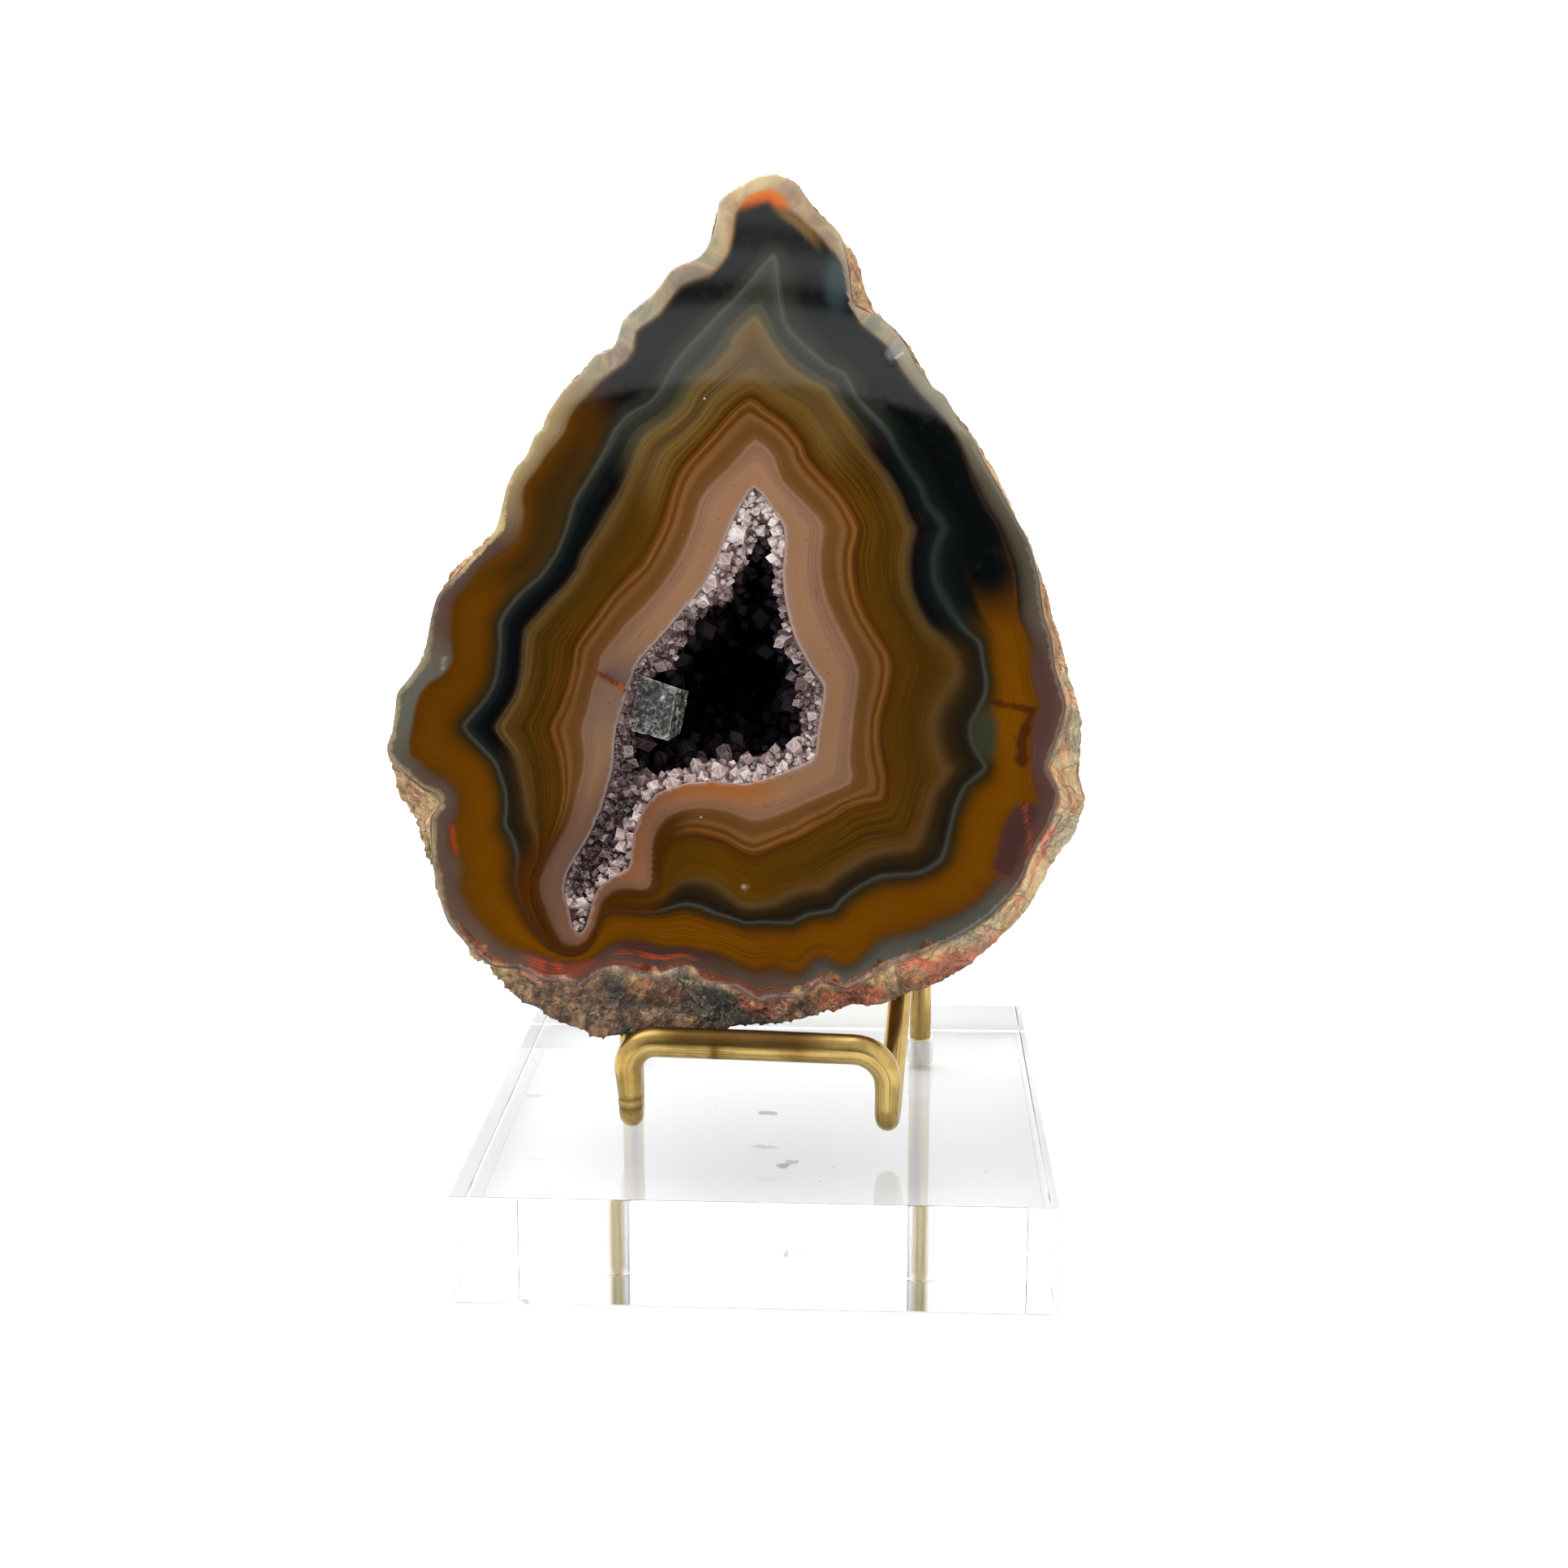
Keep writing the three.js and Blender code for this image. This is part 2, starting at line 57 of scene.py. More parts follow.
EDGE = [
    (0.5, 112.7), (3.7, 111.6), (5.3, 109.3), (6.9, 107.4), (9.2, 105.3), (10.2, 102.6), (10.8, 99.6),
    (11.3, 95.8), (14.8, 94.2), (18, 91), (19.5, 88), (21.6, 85.3), (23.4, 84), (25.2, 80.5), (26.8, 79),
    (28.5, 75.5), (30, 73), (32.2, 69), (34.2, 65.4), (35.4, 61.4), (36.3, 55.6), (37.3, 53), (37.7, 49.3),
    (39.2, 44.3), (38.2, 40.2), (36.9, 36.5), (38.4, 32.8), (37.3, 29.1), (35, 24.9), (33.6, 21.2),
    (30.3, 17.4), (26.9, 14.9), (21.1, 12), (17.1, 10.8), (13.6, 8.3), (11.5, 7.2), (9.4, 7.8), (7.8, 8.3),
    (6.5, 7), (4.8, 6.2), (1.5, 6), (-0.2, 5.5), (-3.1, 7.2), (-6.6, 7.6), (-9.9, 9.7), (-13.3, 8.7),
    (-16.6, 9.3), (-18.7, 9.7), (-21, 9), (-23.3, 7.3), (-25.3, 8), (-28.3, 7.8), (-31.2, 9.2),
    (-34.9, 9.5), (-37, 11), (-39, 12.7), (-41, 15), (-42.1, 18), (-43, 22), (-43.2, 25), (-43.2, 28.8),
    (-42, 30.5), (-42.6, 32), (-44.5, 32.8), (-48.4, 36), (-49.2, 38.1), (-48.6, 39.8), (-48.2, 42.7),
    (-47.9, 45.1), (-46.4, 47), (-44.4, 50.2), (-43.5, 55), (-42.6, 58), (-40.2, 60.6), (-38.2, 62.8),
    (-36.4, 64.6), (-34.9, 67), (-34.1, 70.2), (-33.6, 72.3), (-32.4, 74.7), (-31, 76.3), (-30, 78.8),
    (-28.9, 79.8), (-28.3, 81.7), (-25.9, 85.2), (-23.9, 86.8), (-22.3, 89.2), (-20.4, 89.9), (-19.4, 91),
    (-18.6, 93.7), (-17.5, 94.9), (-14.4, 97.5), (-12.2, 100.4), (-9.7, 101.5), (-8.3, 102.3),
    (-7.3, 104.1), (-6.6, 106), (-6.5, 108.3), (-5.9, 109.5), (-3.9, 111), (-1.3, 112.3),
]
LILAC = [
    (0.3, 109.8), (1.5, 108.8), (4, 107.1), (5.7, 105.6), (7.3, 104.2), (8.8, 102.5), (9.6, 101.3),
    (10.2, 99.4), (10.6, 97.1), (12, 93.4), (14.4, 91.3), (16.3, 89.6), (17.3, 87.5), (19.8, 84.2),
    (22.3, 81.7), (24.8, 78.8), (26.5, 74.5), (28.2, 70.6), (30.3, 67.3), (31.5, 64.3), (32.5, 61.4),
    (32.8, 58), (33, 55.6), (34, 53.5), (34.6, 51), (34.4, 48.9), (35, 46), (35.7, 44.1), (35, 42.7),
    (34.6, 39.8), (34.6, 37.3), (35, 34.5), (35.7, 32.4), (34.6, 30.8), (32.8, 29.7), (31.3, 28),
    (31, 25.3), (30.9, 22.8), (30, 21.4), (28.2, 19.3), (25.7, 17.4), (22.8, 16.6), (21.1, 15.5),
    (17.8, 14.7), (15.3, 13.9), (13.6, 12), (12.3, 10.8), (10.7, 10.5), (8.6, 11.4), (6.9, 11.2),
    (5.7, 9.5), (4, 9.3), (1.9, 10.1), (-0.6, 9.5), (-2.7, 10.3), (-5.3, 11.6), (-7.8, 12), (-10.3, 12.4),
    (-12.4, 12.4), (-14.9, 13), (-17, 13.3), (-18.7, 13), (-20.3, 12.4), (-21.6, 11.2), (-23.3, 10.3),
    (-25.3, 10.3), (-27.4, 10.8), (-29.5, 11.4), (-32, 12), (-33.7, 12.8), (-35.3, 14.3), (-37, 16.2),
    (-38.5, 18.3), (-39.1, 19.9), (-38.6, 21.6), (-38.9, 23.7), (-40.3, 24.9), (-40.5, 27), (-39.5, 29.1),
    (-39.3, 31.6), (-40.3, 33.3), (-42, 34.5), (-43.7, 35.3), (-45.1, 36.4), (-46, 36.8), (-46.2, 38.9),
    (-45.8, 41), (-45.5, 43), (-44.9, 44.8), (-43.7, 46.4), (-42, 47.3), (-40.6, 49.3), (-40.7, 53),
    (-40.3, 57), (-39.5, 58), (-37.8, 60.2), (-36.2, 62), (-33.7, 63.5), (-32.2, 64.8), (-31.6, 66.4),
    (-31.2, 68.5), (-31.5, 70.6), (-31.2, 72.3), (-29.9, 74), (-28.8, 75.7), (-27.4, 77.5), (-26, 79.2),
    (-25.5, 80.8), (-24.5, 82.5), (-22.8, 84.2), (-21.2, 85.8), (-19.1, 87.3), (-17.8, 88.3), (-16.8, 90),
    (-16.6, 92.1), (-15.3, 93.1), (-13.7, 94.2), (-12.4, 96), (-11, 97.9), (-9.1, 98.7), (-7.2, 99.4),
    (-5.8, 100.8), (-4.7, 102.5), (-4.2, 105), (-3.9, 107.5), (-2.5, 109),
]
DARK = [
    (0.8, 102.3), (1.3, 101.3), (1.5, 99.2), (1.7, 96.7), (2.3, 93.8), (3.6, 91.9), (5.7, 90), (7.8, 88.1),
    (10, 87.1), (10.7, 86.3), (11.9, 83.8), (14, 81.7), (16.1, 79.6), (16.9, 77.9), (18.8, 74.7),
    (20.3, 72.7), (21.3, 70.2), (22.8, 68.5), (23.7, 67), (22.8, 65.2), (22.3, 63.1), (22.5, 60.2),
    (23.6, 58), (24.8, 56), (26.3, 53.9), (28.2, 52.3), (28.6, 50.2), (29.2, 46.8), (29, 45.2),
    (28.2, 43.5), (27.3, 41.8), (27.3, 39.8), (28.2, 37.7), (29.2, 36.3), (28.6, 35.3), (26.5, 33.7),
    (25.3, 30.8), (24.8, 28.7), (24.2, 25.8), (23.6, 24.1), (21.9, 22.8), (19.8, 22), (15.7, 21.8),
    (12.8, 20.3), (10.7, 18.7), (9.4, 17.2), (6.1, 16.6), (4.2, 15.5), (0.3, 15.7), (-1.8, 15.5),
    (-4, 16.2), (-5.8, 16.6), (-7.8, 17.4), (-9.9, 17.8), (-11.6, 17.4), (-13.7, 16.8), (-16.6, 16.8),
    (-19.1, 17), (-21, 16.2), (-21.9, 13.1), (-23.2, 11.3), (-25.3, 10.8), (-27.6, 11.8), (-29.6, 14.4),
    (-31, 17.8), (-31.6, 19.1), (-32, 20.8), (-31.8, 22.8), (-32, 24.5), (-32.6, 26.2), (-33.7, 28),
    (-33.5, 29.5), (-33.5, 32), (-34.1, 34), (-34.9, 36), (-36.4, 37.7), (-38.3, 39.5), (-39.2, 40.8),
    (-38.5, 41.8), (-36.6, 43.9), (-35.3, 46), (-34.7, 48.5), (-34.4, 51.8), (-34.5, 54.3), (-33.3, 56.4),
    (-31.6, 58.5), (-29.3, 60.4), (-27.4, 63.1), (-26.2, 65.6), (-25.5, 68.1), (-24.9, 70.2),
    (-23.3, 72.8), (-22, 75), (-20.5, 77.5), (-19.5, 79.6), (-17.8, 81.5), (-15.3, 82.9), (-13.7, 84.6),
    (-12.4, 87.1), (-11, 89.2), (-8.7, 91.7), (-6, 94.6), (-3.9, 96.7), (-1.8, 99.2),
]
OLIVE = [
    (-1.4, 93.8), (0.3, 91.3), (2.3, 88.3), (4.4, 86.5), (7.8, 84.8), (8.6, 83.5), (10.7, 80.8),
    (13.2, 77.5), (16.1, 74.3), (17.8, 71.4), (19, 68.5), (19.9, 67), (19.4, 64.8), (19.2, 61.8),
    (19.6, 58.9), (20.7, 56.4), (21.9, 54.3), (24, 52.3), (25, 50.6), (25.7, 48.5), (24.8, 46.4),
    (23.4, 44.3), (22.5, 41.8), (22.8, 38.9), (23.8, 36.4), (24.6, 35.8), (23.8, 34.5), (22.3, 32.4),
    (21.9, 30.8), (21.3, 28.7), (20.7, 27), (19.6, 25.5), (16.9, 25.1), (14.4, 24.5), (11.9, 23),
    (9.8, 21.6), (8.2, 20.3), (6.1, 19.9), (3.6, 19.1), (1.9, 18), (-1, 17.4), (-2.7, 17.8), (-4.5, 19.3),
    (-6.2, 20.5), (-8.3, 21), (-10.3, 20.8), (-11.6, 19.9), (-12.8, 18.7), (-14.5, 18), (-16.6, 17.9),
    (-18.7, 18), (-20.3, 17.4), (-21.5, 15), (-22.2, 13), (-23.4, 11.7), (-25.2, 11.1), (-27.2, 12.1),
    (-29, 14.6), (-30.2, 17.6), (-30.4, 20.8), (-29.7, 22.4), (-29.2, 24.1), (-29.4, 26.6), (-30.3, 28.7),
    (-30.8, 30.8), (-31.4, 34), (-32, 36), (-32.8, 37.7), (-34.1, 39.3), (-34.9, 40.8), (-33.7, 42.7),
    (-32.4, 44.8), (-31.6, 47.7), (-31.4, 51), (-31, 53.5), (-29.5, 55.2), (-27.8, 57.3), (-25.8, 59.3),
    (-24.3, 61.4), (-23.7, 63.5), (-22, 66), (-20.8, 68.1), (-19.1, 71), (-18.3, 72.5), (-17, 75),
    (-15.8, 77.9), (-14.5, 79.2), (-12, 80.8), (-10.3, 82.5), (-9.1, 85), (-6.6, 87.1), (-4.1, 90),
    (-3.9, 91.3),
]
ORANGE = [
    (-2, 83), (-0.2, 81.7), (2.3, 80), (4.4, 77.5), (4.8, 76), (7.3, 73.1), (9.4, 71), (10.7, 68.9),
    (11.7, 66.8), (11.1, 63.9), (11.1, 61), (11.7, 58), (12.8, 55.2), (14.4, 52.7), (15.7, 50.6),
    (16.1, 48.9), (15.7, 46), (14.8, 42.7), (14.6, 39.8), (15, 36.8), (15.6, 34.4), (15.3, 32.2),
    (13.2, 31.8), (10.7, 31), (9, 29.7), (6.5, 28.5), (4.8, 27.4), (2.3, 26.4), (0.3, 25.5), (-1, 25.1),
    (-2.3, 25.5), (-4.5, 26.8), (-7, 27.6), (-9.1, 27.8), (-11.6, 27.2), (-13.3, 26), (-13.9, 24.5),
    (-13.9, 22.4), (-13.3, 20.3), (-14.1, 18.9), (-16.2, 18.7), (-18.7, 18.9), (-20, 18.3), (-20.9, 16),
    (-21.9, 14), (-23.1, 12.3), (-25, 11.5), (-26.6, 12.4), (-27.6, 14.5), (-28.7, 16.6), (-29.6, 18.7),
    (-29.6, 20.8), (-28.9, 22.8), (-28.2, 24.7), (-27.2, 27), (-26.2, 29.5), (-25.7, 32), (-25.8, 35),
    (-26.3, 37.7), (-27.1, 40.6), (-26, 43), (-24.9, 46), (-24.3, 48.9), (-24.1, 51), (-22.8, 53.1),
    (-21.2, 55.2), (-19.5, 57.7), (-17.4, 59.8), (-15.3, 61.8), (-13.7, 64.8), (-12.4, 67.7),
    (-11.6, 70.6), (-10.8, 73.1), (-9.7, 75), (-8.3, 76.7), (-6.2, 79), (-3.9, 81.5),
]
TAN = [
    (-1.2, 78.3), (1.1, 76.3), (2.3, 73.1), (4.8, 70.6), (6.9, 68.5), (7.8, 67), (7.5, 64.3), (7.5, 61.4),
    (8.2, 58), (9.4, 55.2), (10.7, 52.7), (11.9, 50.2), (12.5, 48.1), (12.3, 45.6), (11.9, 42.7),
    (11.7, 39.8), (11.5, 36.8), (11.8, 35), (11.5, 33.7), (8.6, 32.4), (5.7, 31.2), (2.3, 29.7),
    (-1, 28.9), (-4.5, 30.1), (-7.8, 30.5), (-10.3, 30.1), (-12.4, 29.1), (-13.7, 27.4), (-14.1, 25.3),
    (-14.1, 22.8), (-14.3, 20.3), (-15.3, 19.7), (-17.4, 19.9), (-19.1, 19.5), (-20.5, 18.3), (-21.1, 17),
    (-21.6, 15), (-22.6, 13), (-24, 12.2), (-25.8, 12.6), (-26.8, 14), (-27.7, 16), (-28.6, 18.5),
    (-28.9, 20.5), (-28.2, 22.5), (-27, 24.8), (-25.7, 27), (-24.8, 29.5), (-24.2, 32), (-23.4, 35),
    (-23.2, 37.5), (-23.6, 40.5), (-22.9, 42.7), (-22.2, 46), (-21.6, 47.7), (-21.1, 50.2), (-19.9, 51.8),
    (-18.7, 53.3), (-17.4, 54.8), (-15.3, 56.8), (-13.3, 59.3), (-11.6, 61.8), (-10.3, 64.3), (-9.1, 67.7),
    (-8.3, 70.6), (-7, 72.3), (-4.9, 74.3), (-3.5, 75.8),
]
RIM = [
    (-1.3, 72.2), (0.3, 70.6), (1.7, 68.5), (2.6, 67), (2.8, 64.3), (2.5, 61.4), (2.8, 58), (3.4, 55.2),
    (4.2, 52.7), (5.5, 50.2), (6.9, 48.1), (8, 46.4), (7.8, 43.9), (7.3, 41), (7.1, 38.5), (6.7, 37),
    (4.8, 36), (2.3, 35), (-0.2, 34.1), (-2.5, 33.6), (-6, 33.9), (-9.5, 33.7), (-11.6, 33), (-13.7, 32.2),
    (-15.3, 30.3), (-16.2, 28.3), (-16.8, 26.2), (-17, 23.7), (-17.4, 22.4), (-19.1, 21.4), (-20.8, 20.3),
    (-21.8, 18.7), (-22.2, 17), (-22.8, 14.9), (-23.7, 13.7), (-24.7, 14.9), (-25.1, 17), (-25.8, 19.5),
    (-25.3, 22), (-24.1, 24.1), (-22.8, 26.2), (-21.6, 28.7), (-20.8, 30.8), (-20.1, 33.3), (-19.5, 35.5),
    (-19.3, 38.5), (-19.1, 40.6), (-18.5, 43), (-17.8, 45.2), (-17, 47.7), (-16, 49.8), (-14.5, 51.4),
    (-12.8, 53.3), (-11.2, 55.2), (-9.5, 57.3), (-7.8, 59.3), (-6.2, 62.3), (-4.9, 65.6), (-4.3, 67.3),
    (-3.5, 68.9), (-2.3, 71),
]
# Where the pale crystals along the chamber's rim give way to its dark depth. Its points are places on a
# photo that a script turned into millimetres, a few of them moved since.
OPENING = [
    (0, 66.9), (1.2, 66), (0.8, 63.7), (1.6, 61.3), (1.7, 58.9), (2.6, 55.4), (2.6, 52.2), (3.3, 50),
    (4.7, 49.5), (4.6, 47.2), (3.9, 46.5), (4.5, 44.2), (4.6, 41.8), (5.5, 40.2), (3.4, 38.3),
    (-0.8, 37.3), (-3.5, 36.6), (-6.2, 36.8), (-11.6, 35.3), (-15.1, 34.6), (-17, 36), (-16.6, 39),
    (-16.4, 42), (-15.6, 45.5), (-13.8, 48.4), (-11.7, 48.5), (-11.8, 50.2), (-10.6, 52), (-8, 54.8),
    (-7.4, 56.6), (-4.2, 57.8), (-4, 58.9), (-4.4, 60.7), (-2.9, 61.4), (-2.5, 62.9), (-1.4, 65),
]
# The widest outline of the nodule, seen square to the polished face.
SILHOUETTE = [
    (0.5, 113.1), (4, 112), (7.3, 107.7), (11.7, 102.7), (14, 96), (18.6, 91.5), (22.1, 85.6),
    (26.7, 79.8), (30.9, 73), (35.3, 63.9), (37.8, 56.4), (39.8, 49.3), (41.9, 42.3), (41.5, 35.2),
    (42.4, 32.2), (41.1, 27.4), (38.2, 23.5), (35.3, 18), (31.5, 13.5), (26.9, 9.5), (20.7, 6.2),
    (14.8, 4.5), (10, 3.9), (5.3, 2.5), (0.3, 1.6), (-9, 0.6), (-18.7, 0.1), (-21, -0.3),
    (-23.7, 0.8), (-28.7, 2.6), (-32.4, 4.8), (-36, 8), (-39.9, 12.1), (-42.9, 18.7), (-43.6, 21.4),
    (-45.2, 22.8), (-45.6, 27), (-48.4, 31.6), (-49.7, 38.1), (-48.7, 42.7), (-47.6, 46.8),
    (-44.9, 50.2), (-43.7, 55.2), (-42.4, 60.4), (-37.2, 65.2), (-34.6, 68.5), (-33.9, 72.3),
    (-31.3, 76.3), (-28.6, 81.7), (-25.3, 86.3), (-22.4, 89.5), (-19.7, 91), (-18.8, 93.8),
    (-14.5, 97.7), (-12.4, 100.6), (-9.9, 101.7), (-7.5, 104.2), (-6.8, 108.3), (-4.1, 111.2),
    (-1.4, 112.5),
]

# ---- helpers for shapes ----


def smooth_closed(corners, steps, pull=0.35):
    """A closed outline through the corners, rounded between them."""
    here = np.array(corners, float)
    after = np.roll(here, -1, 0)
    slope = pull * (after - np.roll(here, 1, 0))
    slope_after = np.roll(slope, -1, 0)
    t = (np.arange(steps) / steps)[None, :, None]
    t2, t3 = t * t, t * t * t
    line = (2 * t3 - 3 * t2 + 1) * here[:, None] + (t3 - 2 * t2 + t) * slope[:, None]
    line = line + (3 * t2 - 2 * t3) * after[:, None] + (t3 - t2) * slope_after[:, None]
    return line.reshape(-1, 2)


def distance_to(outline, at):
    """The distance of each point to a closed outline."""
    best = np.full(len(at), 1e9)
    for a, side in zip(outline, np.roll(outline, -1, 0) - outline):
        r = at - a
        t = np.clip((r @ side) / max(side @ side, 1e-9), 0, 1)
        r = r - t[:, None] * side
        best = np.minimum(best, r[:, 0] ** 2 + r[:, 1] ** 2)
    return np.sqrt(best)


def inside(outline, at):
    """Which points lie inside a closed outline."""
    odd = np.zeros(len(at), bool)
    x, y = at[:, 0], at[:, 1]
    for (ax, ay), (bx, by) in zip(outline, np.roll(outline, -1, 0)):
        if ay != by:
            odd ^= ((ay > y) != (by > y)) & (x < (bx - ax) * (y - ay) / (by - ay) + ax)
    return odd


def equal_steps(outline, count):
    """Points at equal steps along a closed outline."""
    lengths = np.linalg.norm(np.roll(outline, -1, 0) - outline, axis=1)
    at = np.concatenate([[0], np.cumsum(lengths)])
    closed = np.vstack([outline, outline[:1]])
    want = np.arange(count) * at[-1] / count
    return np.stack([np.interp(want, at, closed[:, k]) for k in (0, 1)], 1)


def reach(outline, centre, angles):
    """How far an outline lies from a centre in each direction."""
    result = np.zeros(len(angles))
    ray = np.stack([np.cos(angles), np.sin(angles)], 1)
    for a, side in zip(outline - centre, np.roll(outline, -1, 0) - outline):
        area = ray[:, 0] * side[1] - ray[:, 1] * side[0]
        area = np.where(np.abs(area) < 1e-9, 1e-9, area)
        along = (a[0] * side[1] - a[1] * side[0]) / area
        across = (a[0] * ray[:, 1] - a[1] * ray[:, 0]) / area
        hit = (along > 0) & (across >= 0) & (across <= 1)
        result = np.where(hit, np.maximum(result, along), result)
    return result


def blur_round(values, sigma):
    """Values round a circle, smoothed over an angle of sigma radians."""
    if sigma <= 0:
        return values
    wave = np.arange(len(values) // 2 + 1)
    return np.fft.irfft(np.fft.rfft(values) * np.exp(-0.5 * (wave * sigma) ** 2), len(values))


def smoothstep(low, high, x):
    t = np.clip((x - low) / (high - low), 0, 1)
    return t * t * (3 - 2 * t)


def span(x, low, high, soft):
    """One between low and high, with soft edges."""
    return smoothstep(low - soft, low + soft, x) * (1 - smoothstep(high - soft, high + soft, x))


def sector(turn, low, high, soft):
    """One between two directions in degrees, which may pass through 0."""
    middle = (low + high) / 2
    half = (high - low) / 2
    off = np.abs((turn - middle + 180) % 360 - 180)
    return 1 - smoothstep(half - soft, half + soft, off)


def roughness_at(points, scale, octaves=3, seed=0.0):
    """Fractal noise from about -1 to 1 at each point."""
    offset = Vector((seed, seed * 1.7, -seed))
    return np.array([
        noise.fractal(Vector(p) * scale + offset, 1.0, 2.0, octaves) for p in points
    ])


def to_room(local):
    """Points of the stone's own frame in the part's frame, in millimetres."""
    local = np.asarray(local, float)
    across = np.outer(local[:, 0], [1, 0, 0])
    return FACE_FOOT + across + np.outer(local[:, 1], FACE_UP) + np.outer(local[:, 2], FACE_OUT)


def piece(name, points, faces, material, replaces=None, attributes=None, of_faces=None, flat=False):
    """A named mesh of the object, from points in millimetres."""
    mesh = bpy.data.meshes.new(name)
    mesh.from_pydata((np.asarray(points) * MM).tolist(), [], faces)
    for kind, named in (("POINT", attributes), ("FACE", of_faces)):
        for key, values in (named or {}).items():
            layer = mesh.attributes.new(key, "FLOAT", kind)
            layer.data.foreach_set("value", np.asarray(values, np.float32))
    build = bmesh.new()
    build.from_mesh(mesh)
    bmesh.ops.recalc_face_normals(build, faces=build.faces)
    build.to_mesh(mesh)
    build.free()
    mesh.polygons.foreach_set("use_smooth", [not flat] * len(mesh.polygons))
    mesh.materials.append(material)
    result = bpy.data.objects.new(name, mesh)
    bpy.context.scene.collection.objects.link(result)
    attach(result, "root")
    if replaces:
        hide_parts(replaces)
    return result


# ---- helpers for materials ----


def colour(red, green, blue):
    """A scene colour from display values of 0 to 255."""
    def linear(c):
        c /= 255
        return c / 12.92 if c <= 0.04045 else ((c + 0.055) / 1.055) ** 2.4
    return linear(red), linear(green), linear(blue), 1.0


class Nodes:
    """A node tree built step by step. Inputs are numbers, colours or other nodes' outputs."""

    def __init__(self, tree):
        self.tree = tree

    def set(self, socket, value):
        if isinstance(value, bpy.types.NodeSocket):
            self.tree.links.new(value, socket)
        else:
            socket.default_value = value

    def node(self, kind, inputs=None, out=0, **settings):
        node = self.tree.nodes.new("ShaderNode" + kind)
        for key, value in settings.items():
            setattr(node, key, value)
        for key, value in (inputs or {}).items():
            self.set(node.inputs[key], value)
        return node.outputs[out]

    def math(self, operation, a, b=0.0, c=0.0, clamp=False):
        return self.node("Math", {0: a, 1: b, 2: c}, operation=operation, use_clamp=clamp)

    def plus(self, a, b):
        return self.math("ADD", a, b)

    def minus(self, a, b, clamp=False):
        return self.math("SUBTRACT", a, b, clamp=clamp)

    def times(self, a, b, clamp=False):
        return self.math("MULTIPLY", a, b, clamp=clamp)

    def larger(self, a, b):
        return self.math("MAXIMUM", a, b)

    def times_plus(self, a, b, c):
        return self.math("MULTIPLY_ADD", a, b, c)

    def faded(self, factor, share):
        """One where the share is zero, and the factor where it is one."""
        return self.times_plus(self.minus(factor, 1.0), share, 1.0)

    def torn(self, value, pattern, amount):
        """A value made ragged by a pattern about 0.5."""
        return self.times_plus(self.minus(pattern, 0.5), amount, value)

    def remap(self, value, low, high, to_low=0.0, to_high=1.0):
        inputs = {0: value, 1: low, 2: high, 3: to_low, 4: to_high}
        return self.node("MapRange", inputs, interpolation_type="SMOOTHSTEP")

    def ramp(self, value, stops, shade=lambda rgb: colour(*rgb)):
        """A ramp through display colours, or through what another function makes of its stops."""
        out = self.node("ValToRGB", {0: value})
        elements = out.node.color_ramp.elements
        while len(elements) < len(stops):
            elements.new(0.5)
        for element, (position, level) in zip(elements, stops):
            element.position = position
            element.color = shade(level)
        return out

    def levels(self, value, stops):
        """A ramp through plain strengths."""
        return self.ramp(value, stops, lambda level: (level, level, level, 1))


class Surface(Nodes):
    """A material round one Principled shader, its patterns laid out by the object's own place."""

    def __init__(self, name):
        self.material = bpy.data.materials.new(name)
        self.material.use_nodes = True
        super().__init__(self.material.node_tree)
        self.shader = self.tree.nodes["Principled BSDF"]
        self.place = self.node("TexCoord", out="Object")

    def attribute(self, name):
        return self.node("Attribute", attribute_name=name, out="Fac")

    def mix(self, amount, a, b, blend="MIX"):
        inputs = {0: amount, 6: a, 7: b}
        return self.node("Mix", inputs, out=2, data_type="RGBA", blend_type=blend)

    def tint(self, shade, amount, strength, rgb, clamp=False):
        """A shade turned towards a display colour, by an amount times a strength."""
        return self.mix(self.times(amount, strength, clamp), shade, colour(*rgb))

    def brighten(self, shade, factor):
        grey = self.node("CombineColor", {0: factor, 1: factor, 2: factor})
        return self.mix(1.0, shade, grey, "MULTIPLY")

    def noise(self, scale, detail, rough, distortion=0.0, vector=None):
        inputs = {"Scale": scale, "Detail": detail, "Roughness": rough, "Distortion": distortion}
        inputs["Vector"] = vector or self.place
        return self.node("TexNoise", inputs, out="Fac")

    def dots(self, scale, core, rim, strength, rarity):
        """Round dots in those cells of a pattern that chance puts above the rarity."""
        cells = self.node("TexVoronoi", {"Vector": self.place, "Scale": scale}, out="Distance")
        chance = self.node("SeparateColor", {0: cells.node.outputs["Color"]}, out=0)
        chosen = self.math("GREATER_THAN", chance, rarity)
        return self.times(self.remap(cells, core, rim, strength, 0.0), chosen)

    def finish(self, **values):
        for key, value in values.items():
            self.set(self.shader.inputs[key.replace("_", " ")], value)
        return self.material

    def bump(self, height, distance, strength=1.0):
        inputs = {"Height": height, "Distance": distance, "Strength": strength}
        self.set(self.shader.inputs["Normal"], self.node("Bump", inputs, out="Normal"))


# ---- the stone's face, hollow and back as one closed mesh ----

contours = [smooth_closed(c, 2) for c in (EDGE, LILAC, DARK, OLIVE, ORANGE, TAN, RIM)]
rim_line = contours[-1]
opening_line = smooth_closed(OPENING, 2)
edge_line = smooth_closed(EDGE, 4)

